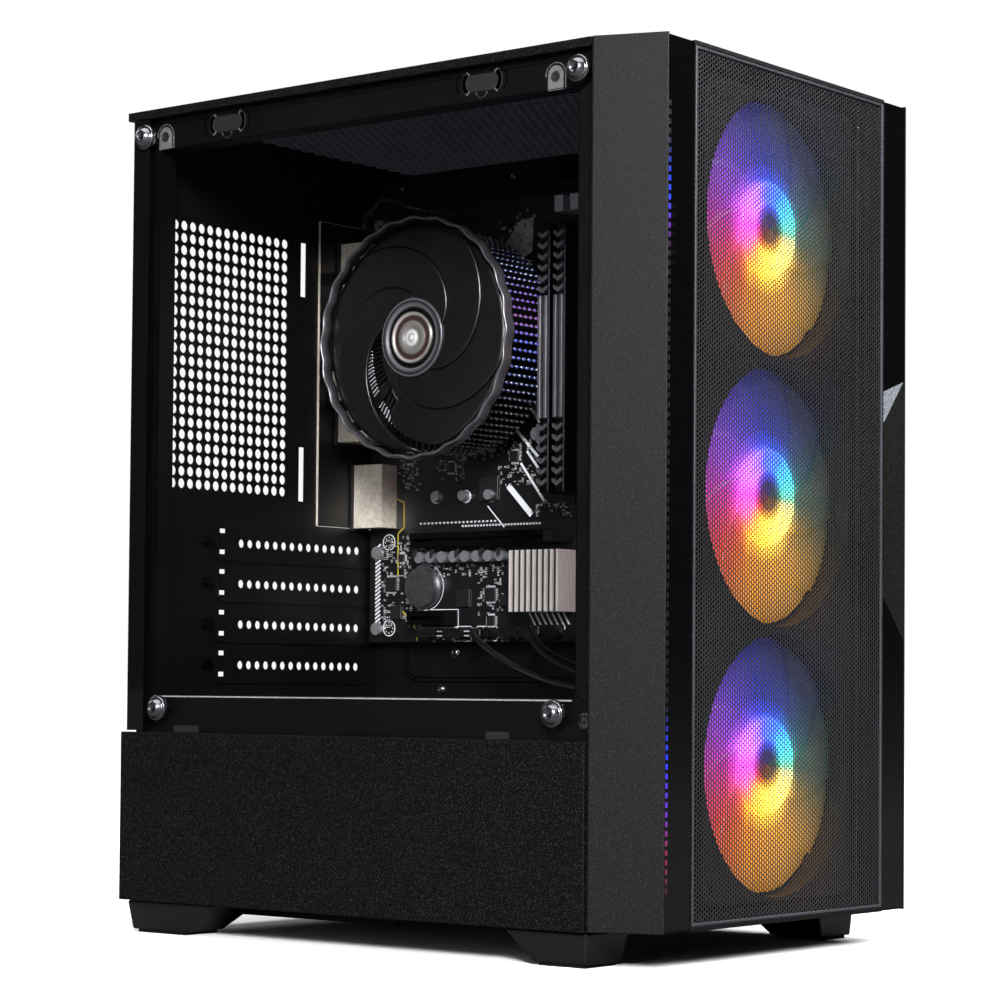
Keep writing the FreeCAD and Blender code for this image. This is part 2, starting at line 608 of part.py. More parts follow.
# ---- processor cooler ----
def make_cooler():
    radius = size("CoolerRadius")
    gaps = []
    count = 54
    for index in range(count):
        corners = [Vector(22, -0.8, -1), Vector(radius + 2, -2.6, -1),
                   Vector(radius + 2, 2.6, -1), Vector(22, 0.8, -1)]
        gap = Part.Face(Part.makePolygon(corners + [corners[0]])).extrude(Vector(0, 0, 40))
        gap.rotate(Vector(0, 0, 0), Vector(0, 0, 1), 360.0 * index / count)
        gaps.append(gap)
    disc = Part.makeCylinder(radius, 34)
    core = Part.makeCylinder(19, 10, Vector(0, 0, 34))
    sink = disc.cut(Part.makeCompound(gaps)).fuse(core)
    stand = solid("CoolerSink", sink, 0, 0, 0)
    stand.Placement = Placement(Vector(0, 0, 0), turns["X"])
    for axis, value in zip("xyz", ("BoardFace - 6.5 - 44", "CoolerY", "CoolerZ")):
        stand.setExpression("Placement.Base." + axis, bound(value))
    keep(stand, "cooler_heatsink")
    # the guard ring has a waved rim; struts at its back carry the bearing pin
    rim = []
    for step in range(96):
        angle = 2 * math.pi * step / 96
        reach = 60.2 + 0.8 * math.cos(12 * angle)
        rim.append(Vector(reach * math.cos(angle), reach * math.sin(angle), 0))
    curve = Part.BSplineCurve()
    curve.interpolate(rim, PeriodicFlag=True)
    outer = Part.Face(Part.Wire(curve.toShape())).extrude(Vector(0, 0, 7))
    guard = outer.cut(Part.makeCylinder(57.6, 7))
    struts = [Part.makeCylinder(19, 1.6, Vector(0, 0, 8.6))]
    for index in range(4):
        arm = Part.makeBox(59, 5, 1.6)
        arm.translate(Vector(0, -2.5, 8.6))
        arm.rotate(Vector(0, 0, 0), Vector(0, 0, 1), 45 + 90 * index)
        leg = Part.makeBox(3, 5, 4)
        leg.translate(Vector(57.2, -2.5, 6.2))
        leg.rotate(Vector(0, 0, 0), Vector(0, 0, 1), 45 + 90 * index)
        struts.append(arm.fuse(leg))
    pin = Part.makeCylinder(2.5, 5.4, Vector(0, 0, 3.4))
    guard = guard.multiFuse(struts + [pin])
    holder = solid("CoolerGuard", guard)
    holder.Placement = Placement(Vector(0, 0, 0), turns["X"])
    for axis, value in zip("xyz", ("BoardFace - 6.5 - 44 - 10.4", "CoolerY", "CoolerZ")):
        holder.setExpression("Placement.Base." + axis, bound(value))
    keep(holder, "cooler_fan_frame")
    rotor = bored(blades(22, 56.8, 7.6, 9, 38, 1.4, 0), 7.6, 1, 6)
    wheel = solid("CoolerRotor", rotor)
    wheel.Placement = Placement(Vector(0, 0, 0), turns["X"])
    for axis, value in zip("xyz", ("BoardFace - 6.5 - 44 - 10.0", "CoolerY", "CoolerZ")):
        wheel.setExpression("Placement.Base." + axis, bound(value))
    keep(wheel, "cooler_fan_rotor")


# ---- front fans ----
def make_front_fans():
    frame = fan_frame(size("FanSize"), size("FanDepth"), size("FanBore"), 21.8, 20, 105, 10)
    rotor = bored(blades(size("HubRadius"), size("RotorRadius"), 16, 9, 42, 1.6, 0), 16, 1, 11)
    for index in range(3):
        height = "LowFanHeight + %d*FanPitch" % index
        for label, shape, start in (("front_fan_frame_%d", frame, "FrontInner - SheetThick - FanDepth"),
                                    ("front_fan_rotor_%d", rotor, "FrontInner - SheetThick - FanDepth + 5.4")):
            piece = solid((label % (index + 1)).replace("_", ""), shape)
            piece.Placement = Placement(Vector(0, 0, 0), turns["Y"])
            for axis, value in zip("xyz", (0, start, height)):
                piece.setExpression("Placement.Base." + axis, bound(value))
            keep(piece, label % (index + 1))


# ---- bezel ----
def make_bezel():
    """A moulded box, open at the back and at the mesh, with a leaning cheek on each side."""
    half = size("CaseWidth") / 2
    back = size("FrontInner") - size("SheetThick") - 0.5
    front = -size("CaseDepth") / 2
    lean = size("BezelChamfer")
    low = size("FootHeight") + 1
    tall = size("CaseHeight") - low
    ring_points = [Vector(-half, back, low), Vector(-half, back - 1, low), Vector(-half + lean, front, low),
                   Vector(half - lean, front, low), Vector(half, back - 1, low), Vector(half, back, low)]
    block = Part.Face(Part.makePolygon(ring_points + [ring_points[0]])).extrude(Vector(0, 0, tall))
    inner = [Vector(-half + 3, back, low + 3), Vector(-half + lean + 2.4, front + 6.2, low + 3),
             Vector(half - lean - 2.4, front + 6.2, low + 3), Vector(half - 3, back, low + 3)]
    hollow = Part.Face(Part.makePolygon(inner + [inner[0]])).extrude(Vector(0, 0, tall - 6))
    mesh = size("MeshHalf")
    window = Part.makeBox(2 * mesh, 8, tall - 4)
    window.translate(Vector(-mesh, front - 1, low + 2))
    opening = Part.makeBox(2 * (mesh - 8), 20, tall - 14)
    opening.translate(Vector(-mesh + 8, front - 1, low + 7))
    channels = []
    for side in (-1, 1):
        channel = Part.makeBox(19.5, 2.4, tall)
        channel.translate(Vector(side * (mesh + 10.25) - 9.75, front - 0.2, low))
        channels.append(channel)
    step = Part.makeBox(2 * mesh, size("MeshThick") + 3.4, tall - 4)
    step.translate(Vector(-mesh, front, low + 2))
    bezel = block.cut(hollow).cut(Part.makeCompound([opening])).cut(step)
    for channel in channels:
        bezel = bezel.cut(channel)
    keep(solid("FrontBezel", bezel), "front_bezel")
    plate = sheet_body("FrontMesh", "XZ", "-CaseDepth/2", "MeshThick",
                       ("-MeshHalf + 0.1", "FootHeight + 3.1", "2*MeshHalf - 0.2", "CaseHeight - FootHeight - 5.2"))
    keep(plate, "front_mesh")
    lines = []
    for side in (-1, 1):
        strip = Part.makeBox(18.8, 1.8, tall - 2)
        strip.translate(Vector(side * (mesh + 10.25) - 9.4, front + 0.4, low + 1))
        lines.append(strip)
    keep(solid("BezelTrim", Part.makeCompound(lines)), "bezel_trim")


# ---- top ----
def make_top():
    cover = sheet_body("TopCover", "XY", "CaseHeight - TopCoverThick", "TopCoverThick",
                       ("-CaseWidth/2", "FrontInner - SheetThick", "CaseWidth", "CaseDepth/2 - FrontInner + SheetThick"),
                       windows=[(-76, -88, 152, 222)],
                       rounds=[(90, -105, 6.4), (90, -88, 3.4), (90, -74, 3.4), (90, -62, 3.4)])
    slots = box("UsbSlots", 84, -48, "CaseHeight - 6", 12, 14, 8)
    second = box("UsbSecond", 84, -26, "CaseHeight - 6", 12, 14, 8)
    keep(cut("TopCoverPierced", cover, slots, second), "top_cover")
    filter_plate = sheet_body("TopFilter", "XY", "CaseHeight - TopCoverThick - 0.7", "TopCoverThick + 0.3",
                              (-75.5, -87.5, 151, 221))
    keep(filter_plate, "top_filter")
    for name, label, y, radius in (("PowerCap", "power_button", -105, 6.0), ("ResetCap", "reset_button", -88, 3.0)):
        body = doc.addObject("PartDesign::Body", name)
        sketch = body.newObject("Sketcher::SketchObject", name + "Sketch")
        sketch.AttachmentSupport = [(plane_of(body, "XY_Plane"), "")]
        sketch.MapMode = "FlatFace"
        sketch.setExpression("AttachmentOffset.Base.z", bound("CaseHeight - TopCoverThick + 0.6"))
        ring(sketch, 90, y, radius)
        pad = body.newObject("PartDesign::Pad", name + "Pad")
        pad.Profile = sketch
        pad.setExpression("Length", bound("TopCoverThick - 0.9"))
        body.Tip = pad
        keep(body, label)
    ports = []
    for y in (-48, -26):
        shell = box("UsbShell%d" % len(ports), 84.2, y + 0.2, "CaseHeight - 5.0", 11.6, 13.6, 4.6)
        hollow = box("UsbMouth%d" % len(ports), 87, y + 1.2, "CaseHeight - 4.4", 6, 11.6, 6)
        ports.append(cut("UsbPort%d" % len(ports), shell, hollow))
    for y in (-74, -62):
        shell = rod("JackShell%d" % len(ports), 90, y, "CaseHeight - 5.0", 3.3, 4.6, "Z")
        bore = rod("JackBore%d" % len(ports), 90, y, "CaseHeight - 4.4", 1.8, 6, "Z")
        ports.append(cut("JackPort%d" % len(ports), shell, bore))
    keep(group("TopPorts", *ports), "top_ports")


# ---- sides ----


def make_sides():
    glass = sheet_body("SideGlass", "YZ", "-ChassisWidth/2 - SkinGap - GlassThick", "GlassThick",
                       ("FrontInner + 0.4", "GlassBottom", "RearInner + 2.5 - FrontInner",
                        "CaseHeight - TopCoverThick - 0.4 - GlassBottom"),
                       rounds=[(y, z, 2.5) for y, z in glass_screws])
    keep(glass, "side_glass")
    screws = []
    for index, (y, z) in enumerate(glass_screws):
        head = rod("GlassHead%d" % index, "-ChassisWidth/2 - SkinGap - GlassThick - 5.5", y, z, 6, 5.5, "X")
        dish = rod("GlassDish%d" % index, "-ChassisWidth/2 - SkinGap - GlassThick - 6", y, z, 3, 2, "X")
        shank = rod("GlassShank%d" % index, "-ChassisWidth/2 - SkinGap - GlassThick - 0.2", y, z, 2, 8, "X")
        screws.append(fuse("GlassScrew%d" % index, cut("GlassCap%d" % index, head, dish), shank))
    keep(group("GlassScrews", *screws), "glass_thumbscrews")
    outer = box("CoverOuter", "-CaseWidth/2", "FrontInner", "FootHeight + SkinGap", "(CaseWidth - ChassisWidth)/2 - 0.3",
                "CaseDepth/2 - FrontInner", "LowerCoverTop - FootHeight - SkinGap")
    inner = box("CoverInner", "-CaseWidth/2 + 1", "FrontInner + 1", "FootHeight + SkinGap + 1", 6,
                "CaseDepth/2 - FrontInner - 2", "LowerCoverTop - FootHeight - SkinGap - 2")
    keep(cut("LowerCover", outer, inner), "lower_side_cover")
    skin = box("RightOuter", "ChassisWidth/2 + 0.4", "FrontInner + 0.4", "FootHeight + SkinGap",
               "(CaseWidth - ChassisWidth)/2 - 0.4", "CaseDepth/2 - FrontInner - 0.4 - 4",
               "CaseHeight - TopCoverThick - FootHeight - 2*SkinGap")
    hollow = box("RightInner", "ChassisWidth/2 - 1", "FrontInner + 1.4", "FootHeight + SkinGap + 1",
                 "(CaseWidth - ChassisWidth)/2", "CaseDepth/2 - FrontInner - 1.4 - 5",
                 "CaseHeight - TopCoverThick - FootHeight - 2*SkinGap - 2")
    flange = box("RightFlange", 92, "RearInner + SheetThick + 0.4", 22, 15, 1, 362)
    holes = [rod("FlangeHole%d" % index, 98, "RearInner", z, 2.3, 5, "Y") for index, z in enumerate((60, 340))]
    # a raised field gives room for the cables behind the tray
    field_outer = box("FieldOuter", "CaseWidth/2 - 0.5", -95, 60, 5.4, 215, 290)
    field_inner = box("FieldInner", "CaseWidth/2 - 2", -94, 61, 5.9, 213, 288)
    panel = cut("RightSkin", fuse("RightRaised", cut("RightPan", skin, hollow), field_outer), field_inner)
    keep(cut("RightPanel", fuse("RightJoined", panel, flange), *holes), "right_side_panel")
    caps = []
    for index, z in enumerate((60, 340)):
        head = rod("PanelHead%d" % index, 98, "RearInner + SheetThick + 1.4", z, 5.2, 3.8, "Y")
        shank = rod("PanelShank%d" % index, 98, "RearInner - 4", z, 1.9, 7, "Y")
        caps.append(fuse("PanelScrew%d" % index, head, shank))
    keep(group("PanelScrews", *caps), "panel_thumbscrews")


def make_case_screws():
    """Slot, power supply and drive screws: button heads on short shanks."""
    screws = []

    def screw(x, y, z, direction, radius=3.4, reach=3.9):
        # the head sits on the sheet at x, y, z and faces along direction
        head = Part.makeCylinder(radius, 2, Vector(0, 0, 0), Vector(0, 0, 1))
        shank = Part.makeCylinder(1.5, reach + 0.1, Vector(0, 0, -reach), Vector(0, 0, 1))
        piece = head.fuse(shank)
        piece.Placement = Placement(Vector(x, y, z), Rotation(Vector(0, 0, 1), Vector(*direction)))
        screws.append(piece)

    rear = size("RearInner") + size("SheetThick")
    for x, z in ((-72.5, 30), (-72.5, 98), (72.5, 30), (72.5, 98)):
        screw(x, rear, z, (0, 1, 0), 2.6)
    for index in range(4):
        z = size("LowSlot") + index * size("SlotPitch")
        screw(-58.5, size("RearInner"), z, (0, -1, 0), 2.8, 1.4)
    for fan in range(3):
        z = size("LowFanHeight") + fan * size("FanPitch")
        for sx in (-1, 1):
            for sz in (-1, 1):
                screw(sx * 52.5, size("FrontInner"), z + sz * 52.5, (0, 1, 0))
    keep(solid("CaseScrews", Part.makeCompound(screws)), "case_screws")


# ---- cables inside ----
def tube(points, radius, share=0.45):
    """A round tube on straight runs joined by tangent arcs; prints its radii."""
    edges = []
    start = points[0]
    report = []
    for before, corner, after in zip(points, points[1:], points[2:]):
        into = (corner - before).normalize()
        out = (after - corner).normalize()
        turn = into.getAngle(out)
        run = min((corner - before).Length, (after - corner).Length)
        trim = share * run
        bend = trim / math.tan(turn / 2)
        report.append(round(bend, 1))
        first = corner - into * trim
        last = corner + out * trim
        inward = (out - into).normalize()
        middle = corner + inward * (math.hypot(bend, trim) - bend)
        edges.append(Part.LineSegment(start, first).toShape())
        edges.append(Part.Arc(first, middle, last).toShape())
        start = last
    edges.append(Part.LineSegment(start, points[-1]).toShape())
    path = Part.Wire(edges)
    direction = points[1] - points[0]
    circle = Part.Wire(Part.makeCircle(radius, points[0], direction))
    shape = path.makePipeShell([circle], True, False)
    print("tube radii", report, "volume ratio", round(shape.Volume / (math.pi * radius ** 2 * path.Length), 3))
    return shape


data_route = [(49.5, 24, 147.2), (42, 24, 147.2), (36, 20, 144), (33, 10, 136), (34, -8, 128), (37, -28, 122),
              (40, -46, 117), (42, -50, 108), (44, -50, 96), (44, -50, 84)]
panel_route = [(50.5, 65, 146.5), (46, 65, 146.5), (43, 60, 143), (42, 48, 136), (42, 30, 127), (41, 8, 120.5),
               (41, -16, 117.6), (41, -36, 115.2), (38, -43, 106), (34, -46, 94), (30, -46, 84)]


def make_cables():
    keep(solid("DataCable", tube([Vector(*point) for point in data_route], 2.2)), "sata_cable")
    keep(solid("PanelCable", tube([Vector(*point) for point in panel_route], 1.8)), "front_panel_cable")


make_base_pan()
make_feet()
make_rear_panel()
make_slot_covers()
make_frames()
make_tray_and_walls()
make_shroud()
make_drive_bay()
make_power_supply()
make_board()
make_sockets()
make_board_parts()
make_rear_ports()
make_cooler()
make_front_fans()
make_bezel()
make_top()
make_sides()
make_case_screws()
make_cables()
doc.recompute()

faults = []
for item in doc.Objects:
    if "Invalid" in item.State or "Error" in item.State:
        faults.append("%s: %s" % (item.Name, item.State))
for label, piece in nodes.items():
    shape = piece.Shape
    if shape.isNull() or not shape.isValid() or not shape.Solids:
        faults.append("%s: bad shape" % label)
if faults:
    raise RuntimeError("; ".join(faults))

os.makedirs("parts", exist_ok=True)
for label, piece in nodes.items():
    piece.Shape.exportStep("parts/%s.step" % label)
    extent = piece.Shape.BoundBox
    print("%-22s solids %3d  X %7.1f %7.1f  Y %7.1f %7.1f  Z %7.1f %7.1f" % (
        label, len(piece.Shape.Solids), extent.XMin, extent.XMax, extent.YMin, extent.YMax, extent.ZMin, extent.ZMax))
print(len(nodes), "nodes")
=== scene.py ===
import json
import random
from itertools import product
from math import cos, exp, floor, pi, radians, sin, sqrt

import bmesh
import bpy
from mathutils import Matrix, Vector


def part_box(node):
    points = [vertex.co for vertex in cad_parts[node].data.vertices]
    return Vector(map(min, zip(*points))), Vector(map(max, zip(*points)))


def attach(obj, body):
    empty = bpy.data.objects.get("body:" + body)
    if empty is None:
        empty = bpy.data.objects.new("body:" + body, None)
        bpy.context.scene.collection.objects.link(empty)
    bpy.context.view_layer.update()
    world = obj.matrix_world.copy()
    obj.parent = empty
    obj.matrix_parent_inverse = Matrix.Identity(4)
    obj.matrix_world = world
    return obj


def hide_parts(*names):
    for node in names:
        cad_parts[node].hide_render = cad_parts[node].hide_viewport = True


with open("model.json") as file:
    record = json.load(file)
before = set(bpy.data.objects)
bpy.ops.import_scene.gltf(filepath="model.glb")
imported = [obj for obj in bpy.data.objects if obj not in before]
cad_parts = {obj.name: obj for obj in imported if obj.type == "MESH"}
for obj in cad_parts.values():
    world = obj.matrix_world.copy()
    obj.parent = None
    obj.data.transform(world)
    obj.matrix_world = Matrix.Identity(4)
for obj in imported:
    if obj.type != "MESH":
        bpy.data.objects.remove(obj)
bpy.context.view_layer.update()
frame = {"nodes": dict(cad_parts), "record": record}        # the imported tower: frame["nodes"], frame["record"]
nodes = frame["nodes"]
bodyOf = {node: body for body, members in frame["record"]["behaviour"]["bodies"].items() for node in members}
mm = 0.001               # pieces are drawn in millimetres and scaled once, when they are finished
bpy.context.scene.view_settings.view_transform = "Standard"


def hexColor(text):
    # an sRGB hex colour as linear red, green, blue and alpha
    parts = [int(text[i:i + 2], 16) / 255 for i in (0, 2, 4)]
    return [p / 12.92 if p < 0.04045 else ((p + 0.055) / 1.055) ** 2.4 for p in parts] + [1.0]


def scaled(color, factor):
    return [min(1.0, part * factor) for part in color[:3]] + [1.0]


def addNode(tree, kind, settings=None, links=None):
    # settings name a property of the node or one of its inputs; links feed an input from a node or a socket
    node = tree.nodes.new(kind)
    for key, value in (settings or {}).items():
        if isinstance(key, str) and hasattr(node, key):
            setattr(node, key, value)
        else:
            node.inputs[key].default_value = value
    for key, source in (links or {}).items():
        socket = source.outputs[0] if hasattr(source, "outputs") else source
        tree.links.new(socket, node.inputs[key])
    return node


def spanOf(node):
    low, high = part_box(node)
    return low / mm, high / mm


def centreOf(node):
    low, high = spanOf(node)
    return (low + high) / 2


class Sketch:
    # a mesh being drawn; each shape goes in with the index of its material
    def __init__(self):
        self.bm = bmesh.new()
        self.turn = Matrix.Identity(4)

    def faces(self, points, rings, material):
        corners = [self.bm.verts.new(self.turn @ Vector(point)) for point in points]
        for ring in rings:
            face = self.bm.faces.new([corners[i] for i in ring])
            face.material_index = material

    def smoothFace(self, corners, material):
        face = self.bm.faces.new(corners)
        face.material_index = material
        face.smooth = True

    def box(self, low, high, material=0, chamfer=0.0):
        # a box between two corners, its edges cut by a chamfer where one is given
        cut = min(chamfer, *[(high[i] - low[i]) * 0.45 for i in range(3)])
        if cut <= 0:
            points = list(product(*zip(low, high)))
            rings = ((0, 1, 3, 2), (4, 6, 7, 5), (0, 4, 5, 1), (2, 3, 7, 6), (0, 2, 6, 4), (1, 5, 7, 3))
            self.faces(points, rings, material)
            return
        centre = (Vector(low) + Vector(high)) / 2
        half = (Vector(high) - Vector(low)) / 2
        hull = bmesh.new()
        for sign in product((-1, 1), repeat=3):
            for axis in range(3):
                reach = [sign[i] * (half[i] - (0 if i == axis else cut)) for i in range(3)]
                hull.verts.new(centre + Vector(reach))
        bmesh.ops.convex_hull(hull, input=hull.verts)
        self.take(hull, material)

    def take(self, other, material):
        # adds the faces of another mesh and frees it
        other.verts.index_update()
        corners = [self.bm.verts.new(self.turn @ vertex.co) for vertex in other.verts]
        for old in other.faces:
            face = self.bm.faces.new([corners[vertex.index] for vertex in old.verts])
            face.material_index = material
            face.smooth = old.smooth
        other.free()

    def lathe(self, profile, sides=48, material=0, place=Matrix.Identity(4), wave=lambda angle: 0.0,
              closed=False):
        # turns a profile of (radius, height) pairs round +Z; radius 0 makes a pole, wave adds to the radius
        rows = []
        for radius, height in profile:
            if radius < 1e-6:
                rows.append([self.bm.verts.new(self.turn @ place @ Vector((0, 0, height)))])
                continue
            ring = []
            for step in range(sides):
                angle = 2 * pi * step / sides
                reach = radius + wave(angle)
                point = Vector((reach * cos(angle), reach * sin(angle), height))
                ring.append(self.bm.verts.new(self.turn @ place @ point))
            rows.append(ring)
        for below, above in zip(rows, rows[1:] + rows[:1] if closed else rows[1:]):
            for step in range(sides):
                after = (step + 1) % sides
                ring = [below[step % len(below)], below[after % len(below)],
                        above[after % len(above)], above[step % len(above)]]
                self.smoothFace([corner for i, corner in enumerate(ring) if corner not in ring[:i]], material)

    def prism(self, outline, low, high, material=0):
        # an outline in the XY plane, made solid from z low to z high
        count = len(outline)
        points = [(x, y, low) for x, y in outline] + [(x, y, high) for x, y in outline]
        rings = [tuple(reversed(range(count))), tuple(range(count, 2 * count))]
        rings += [(i, (i + 1) % count, count + (i + 1) % count, count + i) for i in range(count)]
        self.faces(points, rings, material)

    def grid(self, rows, thick, material=0, axis=Vector((0, 0, 1))):
        # a smooth sheet through rows of points, thickened backwards along an axis and closed at its edges
        top = [[self.bm.verts.new(self.turn @ Vector(point)) for point in row] for row in rows]
        low = [[self.bm.verts.new(self.turn @ (Vector(point) - axis * thick)) for point in row] for row in rows]
        quads = []
        for i in range(len(rows) - 1):
            for j in range(len(rows[0]) - 1):
                quads.append((top[i][j], top[i + 1][j], top[i + 1][j + 1], top[i][j + 1]))
                quads.append((low[i][j], low[i][j + 1], low[i + 1][j + 1], low[i + 1][j]))
            quads.append((top[i][0], low[i][0], low[i + 1][0], top[i + 1][0]))
            quads.append((top[i][-1], top[i + 1][-1], low[i + 1][-1], low[i][-1]))
        for j in range(len(rows[0]) - 1):
            quads.append((top[0][j], top[0][j + 1], low[0][j + 1], low[0][j]))
            quads.append((top[-1][j], low[-1][j], low[-1][j + 1], top[-1][j + 1]))
        for quad in quads:
            self.smoothFace(quad, material)

    def tube(self, points, radius, sides=10, material=0):
        # a round rod along points, closed at both ends
        path = [Vector(point) for point in points]
        rows = []
        side = None
        for index, point in enumerate(path):
            ahead = path[min(index + 1, len(path) - 1)] - path[max(index - 1, 0)]
            ahead.normalize()
            if side is None:
                side = ahead.orthogonal().normalized()
            side = (side - ahead * side.dot(ahead)).normalized()
            up = ahead.cross(side)
            row = []
            for step in range(sides):
                angle = 2 * pi * step / sides
                row.append(self.bm.verts.new(
                    self.turn @ (point + (side * cos(angle) + up * sin(angle)) * radius)))
            rows.append(row)
        for below, above in zip(rows, rows[1:]):
            for step in range(sides):
                after = (step + 1) % sides
                self.smoothFace((below[step], below[after], above[after], above[step]), material)
        for ring in (list(reversed(rows[0])), rows[-1]):
            face = self.bm.faces.new(ring)
            face.material_index = material


# a sketch drawn facing +Z is turned to face out of the front, or out of the glass side
faceFront = Matrix(((1, 0, 0, 0), (0, 0, -1, 0), (0, 1, 0, 0), (0, 0, 0, 1)))
faceSide = Matrix(((0, 0, -1, 0), (-1, 0, 0, 0), (0, 1, 0, 0), (0, 0, 0, 1)))


def meshOf(name, bm):
    mesh = bpy.data.meshes.new(name)
    bm.to_mesh(mesh)
    return mesh


def placed(name, data):
    # a new object in the scene, at the origin
    thing = bpy.data.objects.new(name, data)
    bpy.context.scene.collection.objects.link(thing)
    return thing


def baked(holder):
    # the plain mesh that a holder's modifiers make; the holder isn't needed after that
    bpy.context.view_layer.update()
    mesh = bpy.data.meshes.new_from_object(holder.evaluated_get(bpy.context.evaluated_depsgraph_get()))
    bpy.data.objects.remove(holder)
    return mesh


def finishPiece(name, shape, materials, body, replaced=()):
    # turns a sketch, or a mesh in metres, into a piece that rides on its body
    mesh = shape
    if isinstance(shape, Sketch):
        bmesh.ops.recalc_face_normals(shape.bm, faces=shape.bm.faces)
        bmesh.ops.transform(shape.bm, matrix=Matrix.Scale(mm, 4), verts=shape.bm.verts)
        mesh = meshOf(name, shape.bm)
        shape.bm.free()
    mesh.name = name
    if len(mesh.materials):
        mesh.materials.clear()
    for material in materials:
        mesh.materials.append(material)
    piece = placed(name, mesh)
    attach(piece, body)
    if replaced:
        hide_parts(*replaced)
    return piece


def slotOf(node):
    for subpart in frame["record"]["subparts"]:
        if subpart["node"] == node:
            return subpart["material_slot"]


def softened(node, width, material):
    # a copy of a CAD node with its sharp edges rounded, which stands for the node
    bm = bmesh.new()
    bm.from_mesh(nodes[node].data)
    bmesh.ops.remove_doubles(bm, verts=bm.verts, dist=0.01 * mm)
    bmesh.ops.dissolve_limit(bm, angle_limit=radians(1.5), verts=bm.verts, edges=bm.edges)
    holder = placed("holder", meshOf(node + "_soft", bm))
    bm.free()
    edge = holder.modifiers.new("edge", "BEVEL")
    edge.width = width * mm
    edge.segments = 2
    edge.limit_method = "ANGLE"
    edge.angle_limit = radians(35)
    finishPiece(node + "_skin", baked(holder), [material], bodyOf[node], [node])


def carved(node, cutter, material):
    # a copy of a CAD node with a sketch cut out of it, which stands for the node
    welded = bmesh.new()
    welded.from_mesh(nodes[node].data)
    bmesh.ops.remove_doubles(welded, verts=welded.verts, dist=0.005 * mm)
    bmesh.ops.recalc_face_normals(welded, faces=welded.faces)
    whole, tool = [placed("holder", meshOf("holder", bm)) for bm in (welded, cutter)]
    cut = whole.modifiers.new("cut", "BOOLEAN")
    cut.operation = "DIFFERENCE"
    cut.solver = "EXACT"
    cut.object = tool
    ready = baked(whole)
    print(node, "cut:", len(welded.faces), "faces before and", len(ready.polygons), "after")
    welded.free()
    bpy.data.objects.remove(tool)
    finishPiece(node + "_carved", ready, [material], bodyOf[node], [node])


def openTree(name, sizes):
    # a tree with its own named inputs; sizes gives each input's socket kind
    tree = bpy.data.node_groups.new(name, "GeometryNodeTree")
    tree.interface.new_socket("Geometry", in_out="OUTPUT", socket_type="NodeSocketGeometry")
    for label, kind in sizes.items():
        tree.interface.new_socket(label, in_out="INPUT", socket_type="NodeSocket" + kind)
    tree.interface.new_socket("Material", in_out="INPUT", socket_type="NodeSocketMaterial")
    return tree, addNode(tree, "NodeGroupInput").outputs


def closeTree(tree, given, source):
    real = addNode(tree, "GeometryNodeRealizeInstances", None, {0: source})
    done = addNode(tree, "GeometryNodeSetMaterial", None, {0: real, "Material": given["Material"]})
    addNode(tree, "NodeGroupOutput", None, {0: done})


def runTree(tree, values, turn=Matrix.Identity(4)):
    # runs a tree on a bare object and brings the result back as a plain mesh
    holder = placed("holder", bpy.data.meshes.new("holder"))
    maker = holder.modifiers.new("maker", "NODES")
    maker.node_group = tree
    for item in tree.interface.items_tree:
        if item.in_out == "INPUT":
            maker[item.identifier] = values[item.name]
    mesh = baked(holder)
    mesh.transform(turn)
    return mesh


